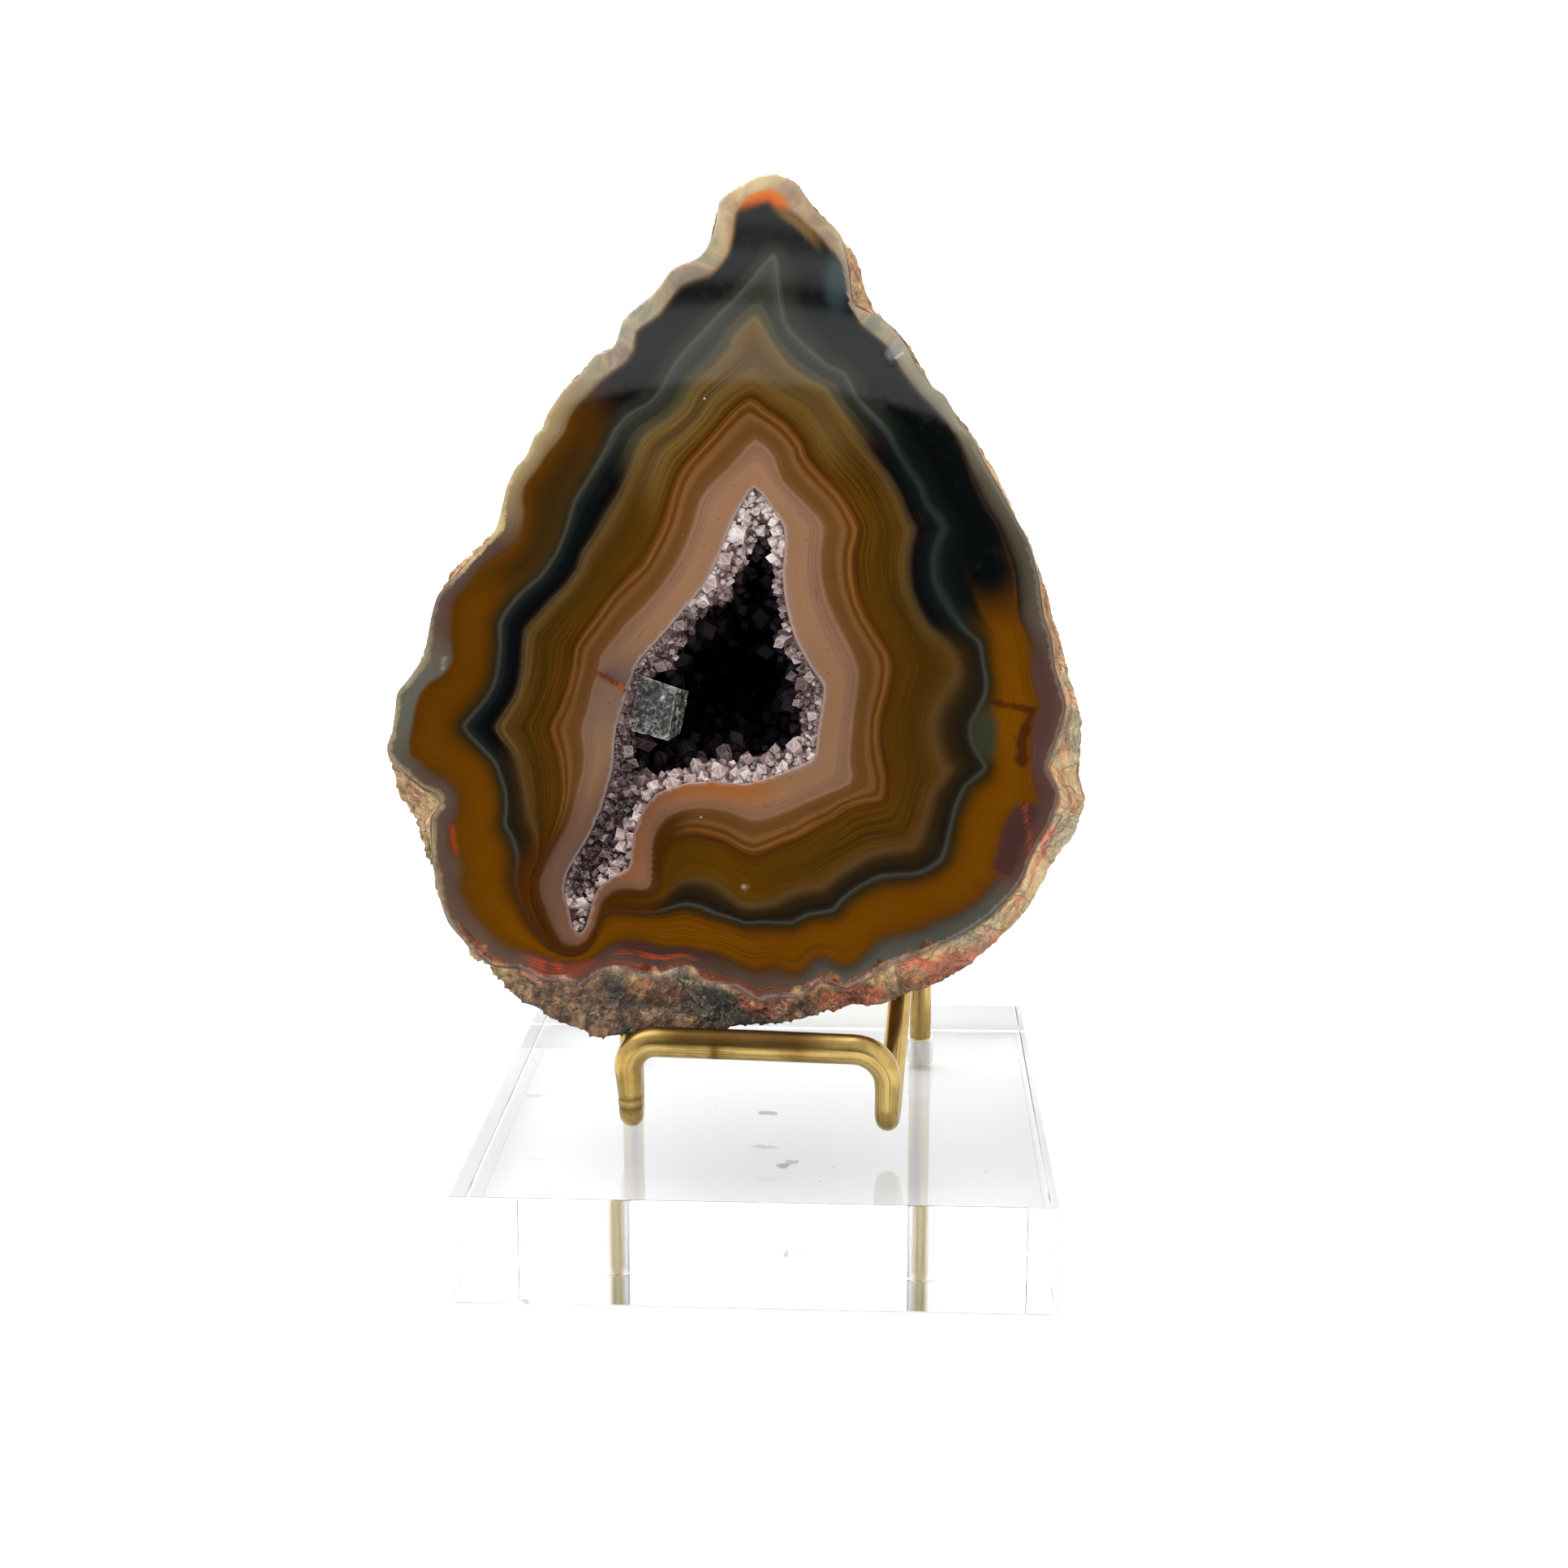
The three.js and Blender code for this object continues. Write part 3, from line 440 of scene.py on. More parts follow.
TURNS = 720
RIND_STEPS = 12
BACK_RINGS = 60
BACK_DEPTH = 30.0
RIND_DEPTH = 1.2
RIND_SLOPE = 0.5
FOOT_RIND_DEPTH = 0.1
FOOT_TOP = 2.0
FOOT_FADE = 7.0
POWER_LEAN = 1.6
POWER_FULL = 2.33
FULL_SIDE = np.array([0.83, 0.56])
GRID = 0.5
RIM_POINTS = 380
CHAMBER_DEPTH = 19.0
TAIL_DEPTH = 5.0
WALL_EDGE_DEPTH = 8.0
CHIP_DEPTH = 0.7


def band_field(at):
    """The band coordinate: 0 at the face's edge, whole numbers on the outlines, 6 at the hollow's rim."""
    gaps = [distance_to(c, at) for c in contours]
    level = np.zeros(len(at), int)
    for i, c in enumerate(contours):
        level = np.where(inside(c, at), i + 1, level)
    field = np.where(level == 0, -gaps[0] / 5, 6 + np.minimum(gaps[-1] / 5, 1))
    for i in range(6):
        between = i + gaps[i] / (gaps[i] + gaps[i + 1] + 1e-9)
        field = np.where(level == i + 1, between, field)
    return field


def hex_grid(outline, step):
    low, high = outline.min(0), outline.max(0)
    rows = np.arange(low[1], high[1], step * math.sqrt(0.75))
    lines = []
    for i, y in enumerate(rows):
        x = np.arange(low[0] + (i % 2) * step / 2, high[0], step)
        lines.append(np.stack([x, np.full(len(x), y)], 1))
    return np.concatenate(lines)


def fill(loops, others):
    """Triangles within closed loops through other points too: places, triangles, each point's number."""
    edges, start = [], 0
    for loop in loops:
        edges += [(start + i, start + (i + 1) % len(loop)) for i in range(len(loop))]
        start += len(loop)
    given = [Vector(p) for p in np.concatenate([*loops, others]).tolist()]
    cut = delaunay_2d_cdt(given, edges, [], 1, 1e-6)
    number = {old: new for new, olds in enumerate(cut[3]) for old in olds}
    return np.array([tuple(p) for p in cut[0]]), [tuple(f) for f in cut[2]], number


def chamber_share(at):
    """One in the deep chamber, zero in the shallow tail at its lower left."""
    return smoothstep(30, 35, at[:, 1] + 0.15 * (at[:, 0] + 14))


def wall_depth(at, gap):
    """How deep the bare stone of the hollow lies below the face, at a distance inside its rim."""
    share = chamber_share(at)
    edge_depth = TAIL_DEPTH + (WALL_EDGE_DEPTH - TAIL_DEPTH) * share
    full_depth = TAIL_DEPTH + (CHAMBER_DEPTH - TAIL_DEPTH) * share
    return edge_depth * np.clip(gap / 0.35, 0, 1) + (full_depth - edge_depth) * smoothstep(0.3, 7, gap)


def skin_lumps(x, y):
    broad = np.sin(x * 0.23 + 1.3) * np.sin(y * 0.19 + 0.4) + np.sin(x * 0.13 - y * 0.16)
    fine = np.sin(x * 0.61 + y * 0.47) * np.cos(y * 0.55 - x * 0.31 + 2.1)
    return 0.8 * broad + 0.5 * fine


angles = np.pi / 2 - np.arange(TURNS) * 2 * np.pi / TURNS
rays = np.stack([np.cos(angles), np.sin(angles)], 1)
edge_reach = reach(edge_line, STONE_CENTRE, angles)
brim_reach = reach(smooth_closed(SILHOUETTE, 4, 0.3), STONE_CENTRE, angles)
brim_reach = np.maximum(brim_reach, edge_reach + 0.25)
edge_points = STONE_CENTRE + rays * edge_reach[:, None]
brim_points = STONE_CENTRE + rays * brim_reach[:, None]
above_foot = np.clip((brim_points[:, 1] - FOOT_TOP) / FOOT_FADE, 0, 1)
sloping = RIND_DEPTH + RIND_SLOPE * (brim_reach - edge_reach)
brim_depth = FOOT_RIND_DEPTH + (sloping - FOOT_RIND_DEPTH) * above_foot
power = POWER_LEAN + (POWER_FULL - POWER_LEAN) * (1 + rays @ FULL_SIDE) / 2

rim_points = equal_steps(rim_line, RIM_POINTS)
grid = hex_grid(edge_points, GRID)
grid = grid[inside(edge_points, grid)]
grid = grid[(distance_to(edge_points, grid) > 0.28) & (distance_to(rim_points, grid) > 0.22)]
face_xy, face_triangles, place_of = fill([edge_points, rim_points], grid)

in_hollow = inside(rim_line, face_xy)
rim_gap = distance_to(rim_points, face_xy)
face_z = np.where(in_hollow & (rim_gap > 0.05), -wall_depth(face_xy, rim_gap), 0.0)

# A glassy chip near the upper right edge.
CHIP = np.array([17.2, 90.3])
chip_off = (face_xy - CHIP) @ np.array([[0.75, 0.66], [-0.66, 0.75]])
chip = np.clip(1 - np.hypot(chip_off[:, 0] / 1.1, chip_off[:, 1] / 2.1), 0, 1)
face_z -= np.where(in_hollow, 0, CHIP_DEPTH * np.sqrt(chip))

shell = [(edge_points, np.full(TURNS, 0.0))]
for step in range(1, RIND_STEPS):
    share = step / RIND_STEPS
    x = edge_reach + (brim_reach - edge_reach) * share ** 0.8
    shell.append((STONE_CENTRE + rays * x[:, None], -0.15 - (brim_depth - 0.15).clip(0) * share ** 1.1))
shell.append((brim_points, -brim_depth))
smoothing_at = [1, 0.985, 0.95, 0.89, 0.8, 0.69, 0.56, 0.42, 0.27, 0.12, 0]
smoothing = np.sqrt(6 * np.arange(len(smoothing_at))) * 2.5 / 55
for ring in range(1, BACK_RINGS):
    scale = math.cos(ring / BACK_RINGS * math.pi / 2) ** 0.85
    sigma = np.interp(-scale, -np.array(smoothing_at), smoothing)
    radius = blur_round(brim_reach, sigma) * scale
    depth = blur_round(brim_depth, sigma)
    rise = (1 - scale ** power) ** (1 / power)
    at = STONE_CENTRE + rays * radius[:, None]
    z = -depth - (BACK_DEPTH - depth) * rise + skin_lumps(at[:, 0], at[:, 1]) * rise
    shell.append((at, z))
shell_points = np.concatenate([np.column_stack([xy, z]) for xy, z in shell[1:]])

# Weathering eats into the skin: ledges, pits and lumps, all of them inward.
ring_of = np.repeat(np.arange(1, len(shell)), TURNS)
tilt = np.interp(ring_of, [1, RIND_STEPS, len(shell)], [1.2, 0.1, -3.0])
outward = np.column_stack([np.tile(rays, (len(shell) - 1, 1)), tilt])
outward /= np.linalg.norm(outward, axis=1)[:, None]
coarse = roughness_at(shell_points, 0.2, 4, 3.0)
fine = roughness_at(shell_points, 0.75, 4, 9.0)
ledge_place = np.column_stack([shell_points[:, 0] * 0.25, shell_points[:, 1] * 0.9, shell_points[:, 2] * 0.9])
ledges = roughness_at(ledge_place, 1.0, 3, 5.0)
bite = 0.8 * np.clip(coarse + 0.1, 0, 1) + 0.75 * np.clip(0.55 - 1.3 * np.abs(fine), 0, 1)
bite += 0.55 * np.clip(0.4 - 1.4 * np.abs(ledges), 0, 1)
bite *= np.interp(ring_of, [1, 3, 6, 20, 80], [0.12, 0.65, 1, 1.1, 1.1])
round_at = np.degrees(np.arctan2(*(shell_points[:, :2] - STONE_CENTRE).T[::-1])) % 360
bite *= 1 - 0.65 * sector(round_at, 300, 420, 20) + 0.5 * sector(round_at, 215, 290, 15)
# Close to the middle of the back the rings crowd round it, so the relief is evened out along them.
for ring in range(RIND_STEPS, len(shell) - 1):
    row = slice(ring * TURNS, (ring + 1) * TURNS)
    from_middle = np.hypot(*(shell_points[row, :2] - STONE_CENTRE).T).mean()
    bite[row] = blur_round(bite[row], min(0.5 / from_middle, 0.5))
shell_points -= outward * bite[:, None]
last = np.array([[STONE_CENTRE[0], STONE_CENTRE[1], shell_points[-TURNS:, 2].mean()]])

stone_points = np.concatenate([np.column_stack([face_xy, face_z]), shell_points, last])
first = len(face_xy)
stone_faces = list(face_triangles)
edge_places = [place_of[i] for i in range(TURNS)]
for i in range(TURNS):
    j = (i + 1) % TURNS
    stone_faces.append((edge_places[i], edge_places[j], first + j, first + i))
    for ring in range(len(shell) - 2):
        a = first + ring * TURNS
        stone_faces.append((a + i, a + j, a + TURNS + j, a + TURNS + i))
    end = first + (len(shell) - 2) * TURNS
    stone_faces.append((end + i, end + j, len(stone_points) - 1))

# What the stone's colours follow, point by point.


def near_line(at, start, end, width):
    """One on a straight line between two points, fading over a width."""
    start, along = np.array(start, float), np.subtract(end, start)
    t = np.clip((at - start) @ along / (along @ along), 0, 1)
    off = at - start - t[:, None] * along
    return np.exp(-(off ** 2).sum(1) / width ** 2)


def near_spot(at, centre, half_width, half_height, soft):
    """One inside an upright oval, with a soft edge."""
    off = (at - np.array(centre)) / (half_width, half_height)
    return 1 - smoothstep(1 - soft, 1 + soft, np.hypot(off[:, 0], off[:, 1]))


band = np.concatenate([band_field(face_xy), np.full(len(shell_points) + 1, -1.0)])
turn = np.degrees(np.arctan2(*(stone_points[:, :2] - BAND_CENTRE).T[::-1])) % 360
flat_xy = stone_points[:, :2]
x, y = stone_points[:, 0], stone_points[:, 1]


def by_direction(*pairs):
    """A value in each direction, from pairs of degrees and value."""
    return np.interp(turn, *np.transpose(pairs))


CRACK = ((-21.4, 47.9), (-17.7, 45.6))
crack_way = np.subtract(CRACK[1], CRACK[0]) / np.hypot(*np.subtract(CRACK[1], CRACK[0]))
above_crack = (flat_xy - CRACK[0]) @ np.array([-crack_way[1], crack_way[0]])
along_crack = (flat_xy - CRACK[0]) @ crack_way
lobe = near_spot(flat_xy, (28.8, 62), 5.8, 5.6, 0.75)
# The parts of the stone between two directions: from, to and the softness of their ends, in degrees.
SECTORS = {
    "earth": (226, 308, 7), "deep": (8, 57, 7), "hazy": (62, 118, 7), "cold": (116, 204, 5),
    "olive": (120, 163, 7), "grey": (8, 72, 9), "cream": (118, 148, 8), "tip": (76, 93, 3),
    "pink": (75, 85.5, 2), "slate": (284, 320, 5), "plum": (320, 362, 5), "milky": (179, 197, 6),
    "golden": (248, 285, 9), "dusky": (224, 246, 7),
}
masks = {name: sector(turn, *limits) for name, limits in SECTORS.items()}
# The factors of skin, amber and glow were set against colours that a script measured on a photo of the
# stone. Some ends of the lines in knot and spots are places on a photo turned into millimetres.
masks |= {
    "band": band,
    "turn_x": np.cos(np.radians(turn)),
    "turn_y": np.sin(np.radians(turn)),
    "rind": np.concatenate([np.zeros(len(face_xy)), np.ones(len(shell_points) + 1)]),
    "pit_shade": np.concatenate([np.zeros(len(face_xy)), bite, [0]]),
    "depth": -stone_points[:, 2],
    "smoky": np.maximum(smoothstep(14, 24, turn) * (1 - smoothstep(112, 130, turn)), lobe * (band > 1)),
    "skin": by_direction(
        (0, 1), (6, 1), (12, 0.72), (20, 0.75), (31, 0.88), (43, 1), (54, 1.03), (64, 0.97), (74, 0.95),
        (120, 1), (150, 1), (156, 0.97), (170, 1.08), (185, 1.18), (200, 0.98), (215, 1.1), (232, 1.15),
        (241, 1), (252, 0.8), (264, 0.66), (277, 0.95), (290, 1), (360, 1),
    ),
    "crust": sector(turn, 140, 163, 6) + 0.3 * sector(turn, 176, 228, 6),
    "ash": np.maximum(sector(turn, 42, 75, 7), sector(turn, 95, 119, 6)),
    "flowing": np.maximum(sector(turn, 233, 292, 12), 0.45 * sector(turn, 325, 382, 12)),
    "layered": sector(turn, 302, 410, 14) * (1 - smoothstep(6, 13, -stone_points[:, 2])),
    "salmon": near_spot(flat_xy, (0.3, 5.2), 3.7, 1.7, 0.5) + near_spot(flat_xy, (-29, 8.5), 3.5, 1.4, 0.5),
    "umber": near_spot(flat_xy, (-12.6, 6.6), 4.0, 2.2, 0.6),
    "bleached": (near_spot(flat_xy, (-14.5, 3.6), 5.5, 1.5, 0.7)
                 + near_spot(flat_xy, (-29, 6.4), 5.5, 2.2, 0.8)),
    "amber": by_direction(
        (0, 1.1), (20, 1.1), (120, 0.6), (150, 0.65), (165, 0.76), (190, 0.8), (205, 0.94), (240, 0.96),
        (280, 1.03), (300, 1.02), (330, 1.06), (345, 1.12), (360, 1.1),
    ),
    "glow": by_direction(
        (0, 0.97), (40, 1.04), (80, 1.1), (125, 1.04), (165, 0.98), (195, 0.86), (215, 0.86), (235, 0.8),
        (262, 0.92), (290, 0.97), (335, 0.96), (360, 0.97),
    ),
    "orange": near_spot(flat_xy, (-0.1, 109.6), 3.1, 2.2, 0.5) * span(band, 0.66, 1.08, 0.08),
    "gilt": sector(turn, 79, 84.5, 1.5) * span(band, 1.0, 1.2, 0.06),
    "blue": near_spot(flat_xy, (9.3, 98.8), 1.5, 3.4, 0.6),
    "chip": np.concatenate([chip ** 0.5, np.zeros(len(shell_points) + 1)]),
    "lens": near_spot(flat_xy, (28.5, 40.3), 2.1, 3.4, 0.4) * span(band, 1.4, 2.0, 0.12),
    "knot": np.maximum.reduce([near_line(flat_xy, (30.3, 44.4), (35.7, 43.4), 0.7),
                               near_line(flat_xy, (35.4, 43.4), (33.8, 40.2), 0.9),
                               near_line(flat_xy, (33.8, 40.2), (33.7, 36.9), 0.8)]),
    "ember": sector(turn, 244, 288, 14) * smoothstep(4.9, 5.9, band),
    "frost": sector(turn, 180, 212, 8) * smoothstep(4.95, 5.2, band),
    "stain": np.exp(-np.clip(above_crack, 0, 9) / 1.5) * (above_crack > 0) * span(along_crack, 0.6, 5, 0.5),
    "crack": near_line(flat_xy, *CRACK, 0.34),
    "red": np.maximum.reduce([
        0.75 * sector(turn, 236, 246, 4) * span(band, 0.0, 0.9, 0.25),
        0.9 * sector(turn, 247, 264, 4) * span(band, 0.42, 0.62, 0.14),
        0.4 * sector(turn, 225, 300, 8) * span(band, -0.1, 0.4, 0.2),
        0.62 * near_line(flat_xy, (35.1, 24.6), (34.2, 31.5), 0.5),
        0.4 * near_line(flat_xy, (28.6, 22.8), (33, 21.6), 0.4),
        0.35 * near_line(flat_xy, (34.6, 34.2), (35.6, 39), 0.5),
        0.55 * near_line(flat_xy, (-40.6, 27.5), (-40, 24), 0.6),
    ]),
    "wine": np.maximum(near_line(flat_xy, (31.6, 23.6), (34.2, 30.4), 1.7),
                       sector(turn, 249, 266, 4) * span(band, 0.62, 0.9, 0.1)),
    "tail": sector(turn, 224, 254, 4) * span(band, 1.9, 4.9, 0.3),
    "inner": smoothstep(5.99, 6.03, band),
    "coral": sector(turn, 275, 350, 15) * (1 - smoothstep(8, 17, -stone_points[:, 2])),
    "mossy": span(x, -22, 1, 5) * (1 - smoothstep(8, 16, y)),
    "foot": 1 - smoothstep(1, 14, y),
    "spots": (0.5 * near_line(flat_xy, (-42, 48.3), (-41.7, 49.6), 0.2)
              + near_spot(flat_xy, (-2, 20.1), 0.3, 0.25, 0.4)),
}

# How much darker the polished colours are than they look in the bright room, set against colours that a
# script measured on a photo of the stone.
FACE_SHADE = (0.735, 0.73, 0.61, 1)


def agate_material():
    """The polished bands inside the weathered skin.

    The stops of the band ramps follow colours that a script measured on a photo of the stone.
    """
    s = Surface("agate")
    turn = s.node("CombineXYZ", {"X": s.attribute("turn_x"), "Y": s.attribute("turn_y")})
    stretched = s.node("VectorMath", {0: turn, "Scale": 2.2}, operation="SCALE")
    across = s.node("SeparateXYZ", {0: stretched}, out="X")
    up = s.node("SeparateXYZ", {0: stretched}, out="Y")
    wobble = s.times_plus(s.noise(260, 2, 0.5), 0.04, -0.02)
    band = s.plus(s.attribute("band"), wobble)

    def bands(*pairs):
        low, high = pairs[0][0], pairs[-1][0]
        share = s.node("MapRange", {0: band, 1: low, 2: high})
        return s.ramp(share, [((at - low) / (high - low), shade) for at, shade in pairs])

    def between(low, high, soft=0.05):
        return s.times(s.remap(band, low - soft, low + soft),
                      s.remap(band, high - soft, high + soft, 1.0, 0.0))

    def masked(name, low, high, soft=0.05, amount=1.0):
        part = s.times(s.attribute(name), between(low, high, soft))
        return s.times(part, amount, clamp=True)

    outer = bands(
        (0, (104, 84, 76)), (0.1, (98, 79, 72)), (0.3, (90, 72, 68)), (0.6, (86, 66, 61)),
        (0.78, (84, 59, 48)), (0.88, (86, 54, 30)), (0.97, (92, 55, 14)), (1.1, (102, 59, 3)),
        (1.35, (109, 64, 1)), (1.55, (108, 62, 1)), (1.68, (102, 58, 2)), (1.78, (84, 50, 4)),
        (1.86, (62, 42, 12)), (1.93, (46, 36, 22)), (1.98, (56, 52, 46)), (2.02, (66, 64, 61)),
        (2.05, (66, 65, 62)), (2.1, (46, 45, 42)), (2.15, (36, 35, 32)),
    )
    middle = bands(
        (2.15, (36, 36, 33)), (2.22, (24, 30, 33)), (2.3, (22, 28, 32)), (2.38, (13, 17, 20)),
        (2.55, (11, 14, 18)), (2.66, (7, 9, 12)), (2.78, (11, 9, 10)), (2.86, (24, 18, 15)),
        (2.93, (42, 33, 25)), (2.97, (66, 54, 41)), (3, (76, 61, 45)), (3.03, (70, 54, 33)),
        (3.08, (94, 70, 42)), (3.14, (94, 68, 36)), (3.2, (84, 58, 22)), (3.3, (72, 49, 13)),
        (3.4, (72, 47, 10)), (3.55, (79, 51, 9)), (3.72, (84, 53, 9)), (3.8, (84, 51, 9)),
        (3.87, (74, 42, 8)), (3.92, (98, 58, 20)), (3.97, (118, 76, 38)), (4, (124, 82, 44)),
        (4.05, (104, 63, 26)), (4.1, (96, 54, 17)), (4.17, (100, 61, 24)), (4.25, (118, 81, 48)),
        (4.36, (119, 82, 50)), (4.46, (108, 72, 40)),
    )
    inner = bands(
        (4.46, (108, 72, 40)), (4.56, (104, 67, 36)), (4.7, (105, 68, 37)), (4.86, (110, 72, 41)),
        (4.93, (113, 76, 48)), (4.97, (124, 87, 67)), (5.02, (138, 102, 84)), (5.08, (141, 104, 88)),
        (5.12, (128, 92, 80)), (5.16, (138, 102, 84)), (5.26, (138, 100, 83)), (5.3, (147, 109, 92)),
        (5.33, (137, 99, 87)), (5.38, (148, 111, 92)), (5.5, (150, 112, 89)), (5.75, (149, 110, 87)),
        (5.84, (146, 110, 94)), (5.92, (148, 114, 104)), (5.97, (158, 128, 122)), (6, (144, 116, 108)),
    )
    shade = s.mix(s.remap(band, 2.149, 2.151), outer, middle)
    shade = s.mix(s.remap(band, 4.459, 4.461), shade, inner)

    # The dark core is warmer and paler to the right and below, and clouded grey at the top.
    warm_core = bands(
        (1.9, (52, 42, 18)), (2, (48, 44, 32)), (2.08, (50, 46, 36)), (2.16, (36, 31, 24)),
        (2.3, (30, 24, 18)), (2.5, (42, 31, 17)), (2.65, (45, 32, 15)), (2.78, (56, 40, 22)),
        (2.9, (70, 50, 29)), (2.98, (80, 58, 34)), (3.05, (86, 62, 34)), (3.13, (84, 57, 20)),
        (3.3, (78, 50, 7)),
    )
    cool = s.larger(s.attribute("cold"), s.larger(s.attribute("deep"), s.attribute("hazy")))
    warm = s.times(s.minus(1.0, cool, clamp=True), between(2.14, 3.25, 0.04))
    shade = s.mix(warm, shade, warm_core)
    smoky = bands(
        (0.9, (30, 30, 30)), (1, (14, 17, 19)), (1.1, (8, 13, 16)), (1.3, (5, 10, 13)), (1.55, (5, 9, 12)),
        (1.66, (10, 15, 16)), (1.74, (30, 32, 26)), (1.84, (40, 40, 32)), (1.92, (42, 44, 40)),
        (1.97, (60, 64, 63)), (2.01, (78, 82, 82)), (2.06, (66, 69, 67)), (2.15, (56, 58, 54)),
    )
    shade = s.mix(masked("smoky", 0.98, 2.2, 0.08), shade, smoky)
    deep = bands(
        (1.6, (8, 12, 14)), (1.78, (12, 17, 18)), (1.9, (17, 22, 22)), (1.97, (30, 38, 40)),
        (2.04, (36, 46, 48)), (2.16, (34, 42, 44)), (2.26, (20, 26, 30)), (2.45, (13, 17, 22)),
        (2.6, (13, 16, 20)), (2.75, (11, 11, 15)), (2.9, (15, 12, 14)), (2.97, (30, 23, 21)),
        (3.03, (60, 48, 34)), (3.1, (80, 60, 35)), (3.16, (92, 66, 32)), (3.26, (72, 50, 16)),
    )
    shade = s.mix(masked("deep", 1.62, 3.2, 0.06), shade, deep)
    hazy = bands(
        (2, (70, 73, 72)), (2.12, (62, 64, 61)), (2.22, (52, 54, 50)), (2.4, (50, 51, 44)),
        (2.52, (54, 54, 45)), (2.58, (74, 70, 56)), (2.7, (76, 69, 54)), (2.82, (82, 74, 56)),
        (2.93, (112, 92, 58)), (3, (112, 90, 54)), (3.1, (106, 80, 42)), (3.2, (92, 68, 34)),
        (3.35, (92, 70, 42)), (3.45, (104, 79, 40)), (3.6, (100, 72, 32)), (3.8, (100, 68, 30)),
    )
    shade = s.mix(masked("hazy", 2.08, 3.75, 0.06), shade, hazy)
    # The amber zone turns olive-brown at the upper left and rust-brown round the tail.
    olive = bands(
        (0.9, (106, 66, 22)), (1.08, (84, 50, 9)), (1.3, (66, 41, 7)), (1.5, (56, 37, 12)),
        (1.75, (60, 41, 18)), (1.88, (46, 36, 26)),
    )
    amber = s.faded(s.attribute("amber"), between(0.95, 1.8, 0.1))
    clear = s.minus(1.0, s.attribute("smoky"), clamp=True)
    shade = s.mix(clear, shade, s.brighten(shade, amber))
    shade = s.mix(s.times(clear, masked("olive", 0.98, 1.84, 0.08)), shade, olive)
    shade = s.mix(s.attribute("lens"), shade, colour(54, 56, 45))
    knot = s.torn(s.attribute("knot"), s.noise(240, 4, 0.7, 1.5), 2.2)
    shade = s.tint(shade, s.remap(knot, 0.3, 0.9), 0.8, (60, 26, 10))
    shade = s.tint(shade, s.attribute("tail"), 0.9, (76, 38, 5))
    shade = s.mix(masked("golden", 3.15, 3.72, 0.08, 0.75), shade, colour(94, 58, 3))
    shade = s.mix(masked("dusky", 4.75, 6.2, 0.1, 0.6), shade, colour(92, 66, 66))

    # The chalcedony skin: cream above, slate and plum to the right and below.
    grey = bands(
        (0, (104, 96, 80)), (0.2, (103, 95, 82)), (0.38, (96, 87, 77)), (0.55, (86, 77, 69)),
        (0.72, (70, 62, 56)), (0.84, (48, 43, 42)), (0.93, (28, 24, 26)), (1.02, (12, 14, 17)),
    )
    ash = bands(
        (0, (154, 146, 128)), (0.2, (146, 140, 128)), (0.5, (134, 128, 118)), (0.75, (112, 106, 98)),
        (0.9, (72, 66, 60)), (1.0, (30, 28, 28)),
    )
    cream = bands(
        (0, (180, 160, 124)), (0.25, (168, 146, 112)), (0.5, (150, 129, 102)), (0.75, (134, 112, 86)),
        (0.9, (122, 97, 68)), (1.02, (96, 62, 22)),
    )
    tip = bands(
        (0, (240, 220, 182)), (0.2, (226, 198, 158)), (0.45, (214, 186, 147)), (0.65, (186, 154, 116)),
        (0.85, (168, 134, 98)), (1, (112, 80, 34)),
    )
    pink = bands(
        (0, (206, 180, 146)), (0.2, (180, 150, 126)), (0.5, (168, 134, 112)), (0.75, (160, 126, 107)),
        (0.92, (148, 114, 92)), (1.02, (110, 78, 46)),
    )
    slate = bands(
        (0, (84, 80, 76)), (0.15, (86, 84, 81)), (0.45, (80, 79, 77)), (0.7, (72, 65, 60)),
        (0.9, (80, 56, 38)),
    )
    plum = bands(
        (0, (104, 68, 60)), (0.12, (92, 62, 58)), (0.4, (82, 59, 59)), (0.7, (78, 56, 56)),
        (0.85, (84, 56, 44)), (0.97, (96, 54, 16)),
    )
    for name, ramp, end in (
        ("plum", plum, 0.95), ("slate", slate, 0.9), ("grey", grey, 0.97), ("ash", ash, 0.95),
        ("cream", cream, 0.98), ("tip", tip, 1.0), ("pink", pink, 1.0),
    ):
        shade = s.mix(masked(name, -2, end, 0.07), shade, ramp)
    skin = s.faded(s.attribute("skin"), between(-2, 0.97, 0.05))
    shade = s.brighten(shade, skin)
    shade = s.mix(masked("milky", -2, 0.95, 0.1, 0.8), shade, colour(100, 102, 98))
    # The skin is clouded with pink and white round the tip.
    cloudy = s.ramp(s.noise(120, 3, 0.6, 1.0), [
        (0.36, (128, 124, 120)), (0.45, (178, 142, 132)), (0.53, (208, 186, 156)),
        (0.62, (150, 148, 146)),
    ])
    shade = s.mix(masked("hazy", -2, 0.85, 0.12, 0.5), shade, cloudy)
